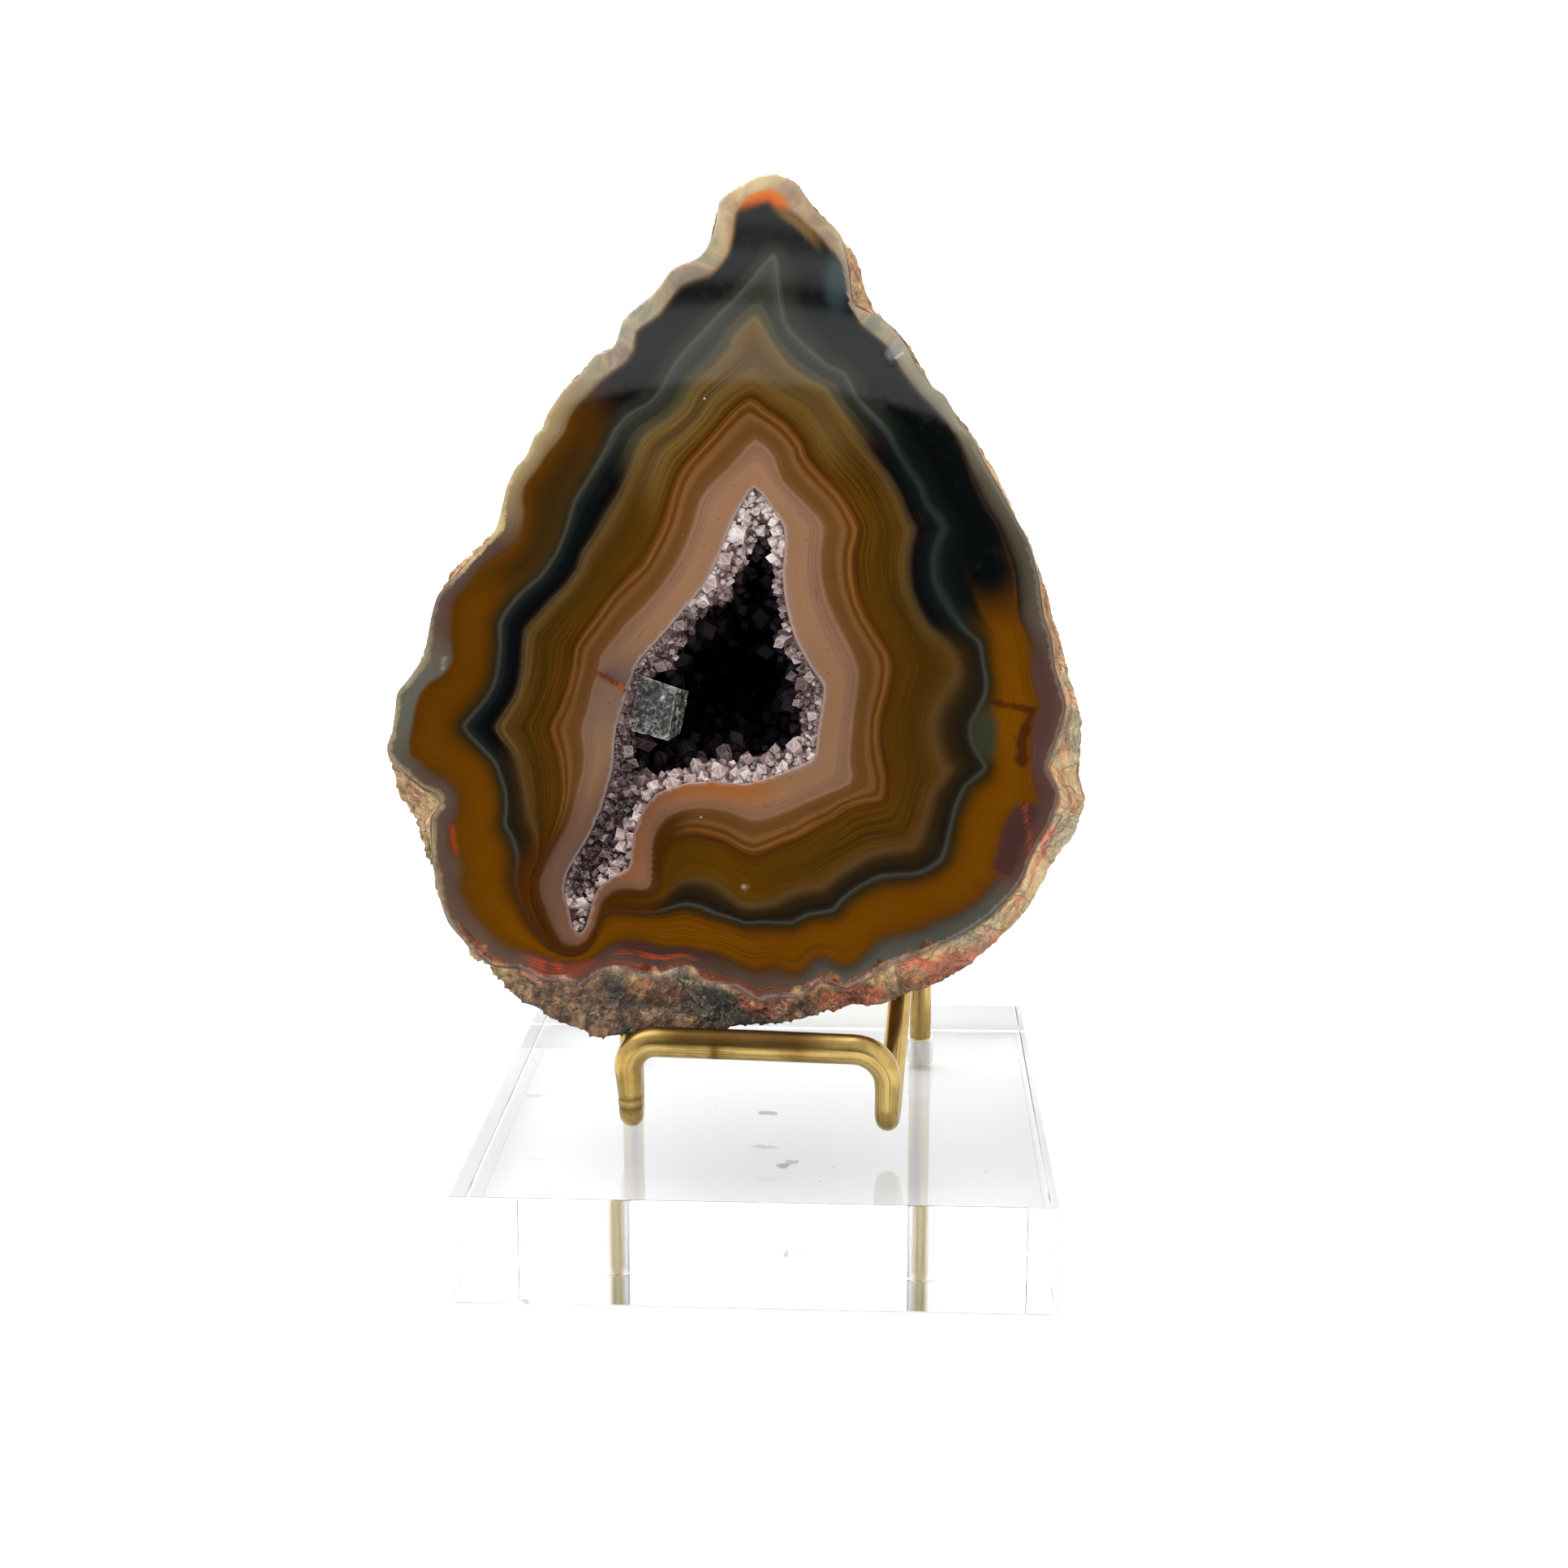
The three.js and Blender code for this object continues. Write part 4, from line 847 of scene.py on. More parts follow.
    # Milky streaks and a thin ragged crust along the very edge.
    milk = s.remap(s.noise(190, 4, 0.65, 0.6), 0.42, 0.62)
    milk = s.times(s.times(milk, between(-2, 0.8, 0.15)), 0.3)
    shade = s.mix(milk, shade, s.brighten(shade, 1.3))
    chalk = s.noise(300, 4, 0.7)
    ragged_edge = s.minus(band, s.times(s.minus(chalk, 0.5), 0.7))
    crust = s.times(s.remap(ragged_edge, 0.3, 0.14), s.attribute("crust"), clamp=True)
    shade = s.mix(crust, shade, s.ramp(chalk, [(0.35, (128, 98, 64)), (0.58, (206, 180, 138))]))
    crumbling = s.minus(s.noise(210, 5, 0.7, 0.5), 0.5)
    broken = s.minus(band, s.times(crumbling, 2.6))
    earth = s.times(s.remap(broken, 0.22, 0.02), s.attribute("earth"))
    earth = s.times(earth, s.remap(band, 0.4, 0.7, 1.0, 0.0))
    shade = s.mix(earth, shade, s.ramp(chalk, [
        (0.38, (54, 36, 30)), (0.48, (112, 66, 48)), (0.56, (160, 116, 86)), (0.64, (196, 160, 124)),
    ]))
    shade = s.tint(shade, s.attribute("gilt"), 0.8, (138, 104, 50))
    shade = s.tint(shade, s.attribute("blue"), 0.6, (66, 84, 96))
    orange = bands((0.6, (206, 132, 62)), (0.85, (220, 108, 26)), (1.1, (196, 92, 22)))
    shade = s.mix(s.attribute("orange"), shade, orange)
    shade = s.tint(shade, s.attribute("ember"), 0.75, (166, 92, 38))
    shade = s.tint(shade, s.attribute("frost"), 0.6, (126, 102, 98))

    # Noise drawn out along the bands.
    def lines(scale, detail):
        where = s.node("CombineXYZ", {"X": s.times(band, scale), "Y": across, "Z": up})
        return s.noise(1.0, detail, 0.6, vector=where)

    blotch = s.noise(520, 3, 0.7, 0.8)
    ragged = s.remap(blotch, 0.4, 0.56)
    torn = s.torn(s.attribute("wine"), blotch, 1.2)
    shade = s.tint(shade, s.remap(torn, 0.15, 0.75), 0.85, (72, 44, 46))
    flow = s.plus(s.times(lines(14, 3), 0.6), s.times(s.noise(240, 4, 0.7), 0.4))
    rust = s.ramp(flow, [
        (0.38, (72, 20, 14)), (0.46, (134, 38, 22)), (0.53, (196, 80, 50)),
        (0.58, (154, 56, 38)), (0.64, (80, 34, 30)),
    ])
    rusty = s.torn(s.attribute("red"), flow, 3.2)
    shade = s.mix(s.times(s.remap(rusty, 0.25, 1.0), 0.9), shade, rust)
    shade = s.mix(s.times(s.attribute("stain"), between(4.9, 7, 0.06)), shade, colour(88, 68, 78))
    shade = s.mix(s.attribute("crack"), shade, s.mix(ragged, colour(96, 32, 16), colour(176, 84, 34)))

    # Fine lines run along the bands: sharp in the olive zone, faint in the amber and the pale zones.
    strong = s.levels(s.math("DIVIDE", band, 6.0), [
        (0.0, 0.25), (0.16, 0.3), (0.2, 0.12), (0.3, 0.2), (0.35, 0.6), (0.5, 0.5),
        (0.54, 1), (0.66, 1), (0.72, 0.4), (0.84, 0.3), (0.9, 0.12), (1.0, 0.08),
    ])
    wave = s.plus(s.remap(lines(22, 2), 0.38, 0.62, -0.5, 0.5), s.remap(lines(60, 1), 0.42, 0.58, -0.3, 0.3))
    fading = s.remap(s.noise(55, 2, 0.5), 0.36, 0.62, 0.25, 1.15)
    strong = s.times_plus(s.attribute("flowing"), s.times(between(0.9, 1.85), 0.75), strong)
    wave = s.times(s.times(wave, strong), fading)
    shade = s.brighten(shade, s.times_plus(wave, 0.36, 1.0))
    glow = s.faded(s.attribute("glow"), between(3.2, 6.5, 0.2))
    shade = s.brighten(shade, glow)
    # Cloudiness across the bands.
    shade = s.brighten(shade, s.remap(s.noise(60, 3, 0.6), 0.3, 0.7, 0.92, 1.08))
    # Red-brown specks near the rim of the hollow, and dust on the polish.
    specks = s.times(s.dots(1050, 0.1, 0.16, 1.0, 0.86), between(5.3, 5.9))
    shade = s.tint(shade, specks, 0.6, (96, 40, 24))
    shade = s.mix(1.0, shade, FACE_SHADE, "MULTIPLY")
    shade = s.tint(shade, s.dots(130, 0.016, 0.022, 1.0, 0.5), 0.8, (190, 180, 165))
    shade = s.tint(shade, s.attribute("spots"), 0.7, (180, 165, 145), clamp=True)
    shade = s.tint(shade, s.attribute("chip"), 0.6, (150, 150, 146))
    shade = s.mix(s.attribute("inner"), shade, colour(112, 92, 88))

    # The weathered skin outside: tan ridges over brown pits deepened with painted shade, coral and grey-green
    # patches.
    big = s.noise(70, 4, 0.65)
    patches = s.ramp(big, [
        (0.3, (112, 84, 56)), (0.42, (156, 122, 82)), (0.5, (190, 160, 114)),
        (0.58, (166, 124, 84)), (0.7, (112, 80, 54)),
    ])
    wavy = s.times_plus(s.noise(160, 3, 0.6), 3.0, s.attribute("depth"))
    along_layers = s.node("CombineXYZ", {"X": s.times(wavy, 0.9), "Y": across, "Z": up})
    strata = s.noise(1.0, 4, 0.65, vector=along_layers)
    rough_skin = s.noise(260, 5, 0.7, 0.4)
    near_face = s.remap(s.attribute("depth"), 5.0, 13.0, 0.75, 0.0)
    strata = s.times_plus(s.minus(strata, rough_skin), near_face, rough_skin)
    pale_layers = s.ramp(strata, [
        (0.36, (146, 100, 66)), (0.44, (196, 144, 98)), (0.51, (206, 176, 130)),
        (0.58, (184, 168, 128)), (0.66, (128, 122, 96)),
    ])
    rind = s.mix(s.times(s.attribute("layered"), 0.8), patches, pale_layers)
    coral = s.times(s.remap(s.noise(150, 4, 0.65, 0.8), 0.5, 0.58), s.attribute("coral"))
    rind = s.tint(rind, coral, 0.8, (202, 106, 72))
    green = s.times(s.remap(s.noise(190, 4, 0.65), 0.45, 0.54), s.attribute("mossy"))
    rind = s.tint(rind, green, 0.9, (56, 72, 68))
    weathered = s.times(s.remap(s.noise(130, 4, 0.7, 0.6), 0.52, 0.62), s.attribute("layered"))
    rind = s.tint(rind, weathered, 0.6, (134, 138, 118))
    rind = s.brighten(rind, s.remap(strata, 0.36, 0.62, 0.72, 1.22))
    # Thin cracks, which the bump below sinks in, painted dark: painted shade in the cracks.
    split = s.math("ABSOLUTE", s.minus(s.noise(210, 3, 0.6, 0.7), 0.5))
    rind = s.brighten(rind, s.remap(split, 0.0, 0.025, 0.72, 1.0))
    grain = s.minus(s.remap(s.noise(900, 4, 0.75), 0.35, 0.65, 0.6, 1.45), 1.0)
    rind = s.brighten(rind, s.times_plus(grain, s.times_plus(s.attribute("layered"), -0.6, 1.0), 1.0))
    # Darker where weathering bit deep into the skin and lighter on what stands out: painted shade in the
    # pits, painted light on the ridges.
    rind = s.brighten(rind, s.remap(s.attribute("pit_shade"), 0.1, 1.3, 1.15, 0.4))
    torn_patch = s.times_plus(s.minus(rough_skin, 0.5), 3.0, s.times(grain, 0.2))
    for name, full, strength, dark, pale in (
        ("salmon", 0.75, 0.85, (176, 80, 58), (240, 146, 114)),
        ("bleached", 0.8, 0.55, (140, 96, 66), (222, 188, 152)),
        ("umber", 0.75, 0.75, (96, 52, 18), (168, 110, 58)),
    ):
        patch = s.remap(s.plus(s.attribute(name), torn_patch), 0.4, full)
        patch_shade = s.mix(s.remap(grain, -0.3, 0.4), colour(*dark), colour(*pale))
        rind = s.mix(s.times(patch, strength, clamp=True), rind, patch_shade)
    # The hollows of the relief are painted darker and its tops lighter, painted shade and light, and the
    # ridges between them are pale, most of all under the stone.
    hollow = s.remap(s.noise(240, 5, 0.72, 1.2), 0.4, 0.56, 0.42, 1.2)
    hollow = s.faded(hollow, s.remap(s.attribute("foot"), 0.0, 1.0, 0.35, 1.0))
    rind = s.brighten(rind, hollow)
    crest = s.math("ABSOLUTE", s.minus(s.noise(300, 4, 0.65, 0.9), 0.5))
    crest = s.times(s.remap(crest, 0.0, 0.022, 1.0, 0.0), s.attribute("foot"))
    rind = s.tint(rind, crest, 0.65, (214, 198, 176))
    # Darker towards the bottom of the stone: painted shade under it.
    foot_shade = s.mix(s.attribute("foot"), colour(243, 236, 230), colour(180, 161, 147))
    rind = s.mix(1.0, rind, foot_shade, "MULTIPLY")
    # Darker towards the back of the stone: painted shade.
    rind = s.brighten(rind, s.remap(s.attribute("depth"), 4.0, 14.0, 1.0, 0.8))
    crumbs = s.remap(s.noise(600, 3, 0.7, 0.5), 0.6, 0.68)
    rind = s.tint(rind, crumbs, 0.5, (196, 172, 130))
    shade = s.mix(s.attribute("rind"), shade, rind)

    rough = s.times(s.attribute("rind"), 0.6)
    rough = s.plus(rough, s.remap(s.noise(900, 2, 0.6), 0.4, 0.8, 0.02, 0.05))
    relief = s.plus(s.times(strata, 0.5), s.noise(420, 5, 0.8))
    relief = s.times_plus(hollow, 0.5, relief)
    relief = s.plus(relief, s.remap(split, 0.0, 0.05, -0.4, 0.0))
    s.bump(s.times(relief, s.attribute("rind")), 0.0009, 1.0)
    return s.finish(Base_Color=shade, Roughness=rough, IOR=1.54)


piece("agate_half", to_room(stone_points), stone_faces, agate_material(),
      replaces="agate", attributes=masks)

# ---- the crystals lining the hollow ----

CRUST_INSET = 0.06
CRUST_RIM_POINTS = 300
CRUST_GRID = 0.55
BED_ROUGHNESS = 0.45
# How far below the polish a crystal ends, along its axis and at any corner.
TIP_CEILING = -0.12
CEILING = -0.06
# The grey cube's corners, which no crystal grows over. A script turned two of them into millimetres.
CUBE_FRONT = [(-17.6, 40.5, -1.2), (-12.3, 39.1, -0.8), (-11.2, 46.1, -0.6), (-16.1, 47.8, -0.9)]
CUBE_BACK = [(-16.2, 41.2, -5.4), (-11, 40.2, -4.4), (-9.9, 45.7, -4.2), (-14.8, 47, -5.2)]
cube_outline = np.array(CUBE_FRONT)[:, :2]


def bed_depth(at):
    """How deep the crystal bed lies below the face."""
    gap = distance_to(rim_points, at)
    into = distance_to(opening_line, at)
    within = inside(opening_line, at)
    share = np.where(within, 1, gap / (gap + into + 1e-9))
    ledge = 0.35 + 2.6 * share ** 1.3
    drop = np.where(within, 13 * (1 - np.exp(-into / 1.2)), 0)
    slope = np.clip(1.5 * (at[:, 1] - 35.6), 0, 20)
    deep = ledge + np.minimum(drop, slope)
    shallow = 0.35 + 1.7 * (1 - np.exp(-gap / 1.1))
    blend = chamber_share(at)
    return shallow + (deep - shallow) * blend


crust_rim = equal_steps(rim_line, CRUST_RIM_POINTS)
tangent = np.roll(crust_rim, -1, 0) - np.roll(crust_rim, 1, 0)
inward = np.stack([tangent[:, 1], -tangent[:, 0]], 1)
crust_rim = crust_rim + CRUST_INSET * inward / np.linalg.norm(inward, axis=1)[:, None]
crust_grid = hex_grid(crust_rim, CRUST_GRID)
crust_grid = crust_grid[inside(crust_rim, crust_grid)]
crust_grid = crust_grid[distance_to(crust_rim, crust_grid) > 0.3]
crust_xy, crust_triangles, order = fill([crust_rim], crust_grid)
gap = distance_to(rim_points, crust_xy)
unevenness = BED_ROUGHNESS * random.random(len(crust_xy)) * smoothstep(0.2, 0.5, gap)
top_z = -bed_depth(crust_xy) - unevenness
bottom_z = np.minimum(-wall_depth(crust_xy, gap) + 0.3, top_z - 0.3)
count = len(crust_xy)
crust_points = [np.column_stack([crust_xy, top_z]), np.column_stack([crust_xy, bottom_z])]
crust_faces = list(crust_triangles) + [tuple(i + count for i in f[::-1]) for f in crust_triangles]
for i in range(len(crust_rim)):
    a, b = order[i], order[(i + 1) % len(crust_rim)]
    crust_faces.append((a, b, b + count, a + count))
within = inside(opening_line, crust_xy)
# The bed is painted darker deeper inside the opening: painted shade in the depth.
dim = np.where(within, np.clip(0.55 + 0.6 * distance_to(opening_line, crust_xy), 0, 1), 0.14)
dim = dim * chamber_share(crust_xy) + 0.34 * (1 - chamber_share(crust_xy))
tone = [dim, dim]
edge = [np.full(2 * count, 0.3)]
glint = [0.2 + 0.6 * random.random(len(crust_faces))]
total = 2 * count
TAIL_LINE = ((-15.4, 34), (-23.8, 16.5))


def quartz(base, direction, radius, length, spin):
    """A six-sided quartz crystal: twelve corners, its tip and the middle of each side."""
    side = np.cross(direction, [0.3, 0.9, 0.2])
    side /= np.linalg.norm(side)
    other = np.cross(direction, side)
    shoulder = max(length - 1.15 * radius, 0.3 * length)
    corners = []
    for level, uneven in ((-0.4 * length, 0), (shoulder, 0.4 * radius)):
        for k in range(6):
            a = spin + k * math.pi / 3
            r = radius * (1 + 0.12 * math.cos(3 * a + spin * 5))
            rise = level + uneven * math.cos(k * math.pi)
            corners.append(base + direction * rise + r * (math.cos(a) * side + math.sin(a) * other))
    lean = 0.15 * radius * (math.cos(spin * 3) * side + math.sin(spin * 3) * other)
    tip = base + direction * length + lean
    round_again = [1, 2, 3, 4, 5, 0]
    walls = [(k, round_again[k], 6 + round_again[k], 6 + k) for k in range(6)]
    slopes = [(6 + k, 6 + round_again[k], 12) for k in range(6)]
    points = np.array(corners + [tip])
    middles = [points[list(side_of)].mean(0) for side_of in walls + slopes]
    faces, sides = [(5, 4, 3, 2, 1, 0)], [0]
    for number, side_of in enumerate(walls + slopes):
        for a, b in zip(side_of, side_of[1:] + side_of[:1]):
            faces.append((a, b, 13 + number))
            sides.append(number + 1)
    return np.vstack([points, middles]), faces, sides


def scatter(count_wanted, spacing, keep):
    """Places in the hollow, no two closer than the spacing on the sloping bed."""
    low, high = crust_rim.min(0), crust_rim.max(0)
    tries = low + (high - low) * random.random((count_wanted * 14, 2))
    tries = tries[inside(crust_rim, tries)]
    tries = tries[keep(tries)]
    z = -bed_depth(tries)
    chosen = []
    for p in np.column_stack([tries, z]):
        if len(chosen) >= count_wanted:
            break
        if not chosen or np.min(((np.array(chosen) - p) ** 2).sum(1)) > spacing ** 2:
            chosen.append(p)
    return np.array(chosen)


def tone_at(at):
    """How dark the crystals are: pale on the ledge, black with painted shade in the depth, purple-brown left
    of the tail.
    """
    in_open = inside(opening_line, at)
    into = distance_to(opening_line, at)
    x, y = at[:, 0], at[:, 1]
    side = 0.21 * span(y, 39, 59, 3) + 0.05 * span(y, 33, 38, 2)
    side = side + 0.08 * smoothstep(-8, -12, x) * span(y, 44, 56, 3)
    # Deeper into the opening the crystals are painted darker, to black: painted shade over their own dark
    # purple.
    dark = np.minimum(0.52 + 0.6 * into, 0.62 + 0.12 * np.clip(y - 38, 0, 9))
    chamber = np.where(in_open, dark, side)
    start, end = np.array(TAIL_LINE)
    way = (end - start) / np.linalg.norm(end - start)
    left = (at - start) @ np.array([way[1], -way[0]])
    tail = 0.42 * smoothstep(-0.9, 0.5, left) * smoothstep(17.5, 21, y)
    west = smoothstep(-14.5, -16.5, x) * span(y, 33, 49, 1.5)
    chamber = np.maximum(chamber, 0.4 * west)
    share = chamber_share(at)
    return np.clip(chamber * share + tail * (1 - share), 0, 1)


def grow(places, radius, length, tilt, uneven=0.65, lean=1.0, towards=None, darker=0.0):
    """Crystals standing on the bed at the places, none of them higher than the polish."""
    global total
    step = 0.15
    slope_x = (bed_depth(places[:, :2] + [step, 0]) - bed_depth(places[:, :2] - [step, 0])) / (2 * step)
    slope_y = (bed_depth(places[:, :2] + [0, step]) - bed_depth(places[:, :2] - [0, step])) / (2 * step)
    normals = np.column_stack([lean * slope_x, lean * slope_y, np.ones(len(places))])
    normals /= np.linalg.norm(normals, axis=1)[:, None]
    for p, normal, dark in zip(places, normals, tone_at(places[:, :2])):
        size = 1 - uneven / 2 + uneven * random.random()
        direction = normal + tilt * (random.random(3) - 0.5)
        direction[2] += 0.25
        if towards is not None:
            direction = np.array([*towards, 0.75]) + tilt * (random.random(3) - 0.5)
        long = length * size * (0.85 + 0.4 * random.random())
        direction /= np.linalg.norm(direction)
        if direction[2] > 0:
            long = min(long, (TIP_CEILING - p[2]) / direction[2])
        if long < 0.3:
            continue
        points, faces, sides = quartz(p, direction, radius * size, long, random.random() * 6.28)
        points[:, 2] = np.minimum(points[:, 2], CEILING)
        crust_points.append(points)
        crust_faces.extend(tuple(i + total for i in f) for f in faces)
        total += len(points)
        tone.append(np.full(len(points), np.clip(dark + darker + 0.16 * (random.random() - 0.5), 0, 1)))
        edge.append(np.array([1.0] * 13 + [0.0] * 12))
        side_glint = 0.5 * random.random() + 0.6 * random.random(13) + 0.16 * smoothstep(61, 66, p[1])
        side_glint = np.clip(side_glint, 0, 1)
        glint.append(side_glint[sides])


def on_ledge(at):
    """Places outside the dark depth, clear of the cube and of the large crystals."""
    clear = ~inside(opening_line, at) & ~inside(cube_outline, at) & (distance_to(opening_line, at) > 0.3)
    for across, up, radius in LARGE:
        clear &= np.hypot(at[:, 0] - across, at[:, 1] - up) > 1.15 * radius
    return clear


def between_large(at):
    return ~inside(opening_line, at) & ~inside(cube_outline, at) & (distance_to(opening_line, at) > 0.15)


def in_depth(at):
    return inside(opening_line, at) & (chamber_share(at) > 0.5) & ~inside(cube_outline, at)


# The largest crystals, which stand out along the edge of the dark depth: place and radius. Their places
# were measured on a photo of the stone and turned into millimetres by a script.
LARGE = [
    (-0.6, 70.6, 0.6), (-2, 69.8, 0.8), (-1, 69.2, 0.7), (0.1, 68.9, 1.0), (-2.1, 68.1, 1.0),
    (1.1, 67.6, 0.8), (-3.8, 67.2, 0.7), (-2.7, 65.9, 1.5), (1.7, 66.5, 0.8), (-4.7, 64.3, 0.9),
    (-4.4, 62.3, 1.5), (1.2, 63.2, 0.9), (-6, 59.3, 1.7), (2, 61.1, 0.7), (1.9, 58.8, 0.7),
    (2.4, 56.4, 0.7), (-7.8, 57.3, 1.0), (-9.2, 55.8, 1.2), (-10.7, 53.8, 1.1), (-12.6, 51.5, 1.3),
    (-13.4, 49, 1.1), (3.6, 50.9, 0.8), (5.2, 46.5, 1.2), (6.2, 42.8, 0.9), (4.2, 38.6, 1.3),
    (4.9, 37, 0.9), (-5.8, 35.9, 1.3), (-0.9, 34.9, 0.9), (-3.4, 35.4, 0.9), (-9.4, 34.7, 1.0),
    (-12, 34.1, 1.2), (2.6, 36.4, 0.9), (-16.8, 26.3, 1.2), (-19.3, 21.9, 1.1), (-20.8, 20.7, 0.9),
    (-17.6, 37.8, 1.0), (-17.9, 43.4, 0.8), (-17.4, 46, 0.8), (-18.2, 40.6, 0.8), (-18, 35.2, 1.0),
]


def grow_large():
    """The large crystals reach from the wall towards the middle of the hollow."""
    step = 0.3
    for across, up, radius in LARGE:
        near = np.array([[across + step, up], [across - step, up], [across, up + step], [across, up - step]])
        far = distance_to(rim_points, near)
        inward = np.array([far[0] - far[1], far[2] - far[3]])
        inward /= np.linalg.norm(inward) + 1e-9
        length = 2.1 * radius
        base = np.array([across, up]) - 0.35 * length * inward
        point = np.array([base[0], base[1], -bed_depth(base[None])[0] - 0.3])
        grow(point[None], 0.88 * radius, length, 0.4, 0.1, towards=inward, darker=-0.02)


grow_large()
grow(scatter(190, 1.2, on_ledge), 0.72, 1.6, 1.2, lean=0.8)
grow(scatter(420, 0.6, between_large), 0.38, 0.9, 1.4, lean=0.6)
grow(scatter(560, 1.1, in_depth), 0.75, 1.6, 0.9, darker=0.05)
grow(scatter(70, 2.8, in_depth), 1.2, 2.6, 0.7, darker=0.05)


def crystal_material():
    s = Surface("quartz")
    tone = s.attribute("tone")
    glint = s.attribute("glint")
    milk = s.noise(700, 3, 0.6)
    # The middle of each facet is painted darker and its outline lighter, painted shade and painted
    # highlights; each facet's glint is a painted reflection.
    core = s.remap(s.attribute("edge"), 0.0, 0.55, 0.68, 1.0)
    pale = s.ramp(glint, [
        (0, (104, 76, 76)), (0.25, (148, 114, 112)), (0.55, (188, 158, 153)),
        (0.8, (220, 198, 193)), (1, (250, 242, 239)),
    ])
    pale = s.mix(s.remap(milk, 0.35, 0.7, 0.0, 0.35), pale, colour(206, 186, 180))
    pale = s.brighten(pale, core)
    grey = s.ramp(glint, [
        (0, (58, 38, 40)), (0.35, (96, 70, 69)), (0.7, (134, 106, 100)),
        (0.9, (176, 152, 146)), (1, (220, 204, 199)),
    ])
    violet = s.ramp(glint, [(0, (24, 12, 17)), (0.6, (70, 44, 50)), (1, (132, 104, 106))])
    dusk = s.ramp(glint, [(0, (16, 11, 16)), (0.6, (32, 25, 30)), (1, (52, 43, 48))])
    deep = s.ramp(glint, [(0, (0, 1, 3)), (0.94, (3, 4, 6)), (1, (30, 30, 32))])
    # The darker tones give the crystals' own purple and, in the depth, painted shade.
    shade = s.mix(s.remap(tone, 0.04, 0.2), pale, grey)
    shade = s.mix(s.remap(tone, 0.25, 0.42), shade, violet)
    shade = s.mix(s.remap(tone, 0.5, 0.62), shade, dusk)
    shade = s.mix(s.remap(tone, 0.68, 0.85), shade, deep)
    # Painted highlights along the crystals' edges, pale on the ledge; in the depth the edges are painted
    # dark, painted shade.
    rim = s.remap(s.attribute("edge"), 0.66, 1.0)
    rim_shade = s.mix(s.remap(tone, 0.08, 0.3), colour(244, 236, 230), colour(186, 170, 166))
    rim_shade = s.mix(s.remap(tone, 0.42, 0.6), rim_shade, colour(10, 9, 12))
    rim = s.times(rim, s.remap(glint, 0.3, 0.85, 0.15, 0.9))
    shade = s.mix(rim, shade, rim_shade)
    rough = s.plus(s.remap(milk, 0.3, 0.7, 0.02, 0.08), s.times(tone, 0.3))
    # Reflections are dimmed on the crystals of the depth: painted shade.
    dull = s.mix(s.remap(tone, 0.35, 0.62), (1, 1, 1, 1), (0.06, 0.06, 0.07, 1))
    s.bump(milk, 0.00008, 0.4)
    return s.finish(Base_Color=shade, Roughness=rough, IOR=1.54, Transmission_Weight=0.3, Specular_Tint=dull)


piece("quartz_crust", to_room(np.concatenate(crust_points)), crust_faces, crystal_material(),
      replaces="crystal_crust",
      attributes={"tone": np.concatenate(tone), "edge": np.concatenate(edge)},
      of_faces={"glint": np.concatenate(glint)}, flat=True)

# ---- the grey cube ----

def cube_mesh():
    """A pitted cube with chipped edges, drawn out to the crystal's own eight corners."""
    build = bmesh.new()
    bmesh.ops.create_cube(build, size=2)
    bmesh.ops.bevel(build, geom=build.edges[:], offset=0.05, segments=2, profile=0.6, affect="EDGES")
    bmesh.ops.subdivide_edges(build, edges=build.edges[:], cuts=34, use_grid_fill=True)
    bmesh.ops.triangulate(build, faces=build.faces[:])
    points = np.array([v.co[:] for v in build.verts])
    faces = [tuple(v.index for v in f.verts) for f in build.faces]
    build.free()
    pits = np.clip(roughness_at(points * 3, 1.5, 4, 5.0), -1, 1)
    at_edge = smoothstep(0.8, 1.0, np.sort(np.abs(points), 1)[:, 1])
    holes = smoothstep(0.3, 0.45, roughness_at(points * 3, 1.3, 2, 8.0)) * (1 - at_edge)
    chips = np.clip(roughness_at(points * 3, 0.9, 2, 2.0) - 0.1, 0, 1)
    bite = 0.03 * np.clip(pits + 0.3, 0, 1) * (1 - 0.7 * at_edge) + 0.1 * holes + 0.05 * at_edge * chips
    points = points * (1 - bite)[:, None]
    across, up, out = ((points + 1) / 2).T
    result = 0
    for corners, depth in ((CUBE_BACK, 1 - out), (CUBE_FRONT, out)):
        weights = ((1 - across) * (1 - up), across * (1 - up), across * up, (1 - across) * up)
        for corner, weight in zip(corners, weights):
            result = result + np.outer(depth * weight, corner)
    # Pale along the cube's edges: a painted highlight.
    edge_highlight = smoothstep(0.93, 0.99, np.sort(np.abs(points), 1)[:, 1]) * (1 - smoothstep(0, 0.02, bite))
    return result, faces, bite, edge_highlight


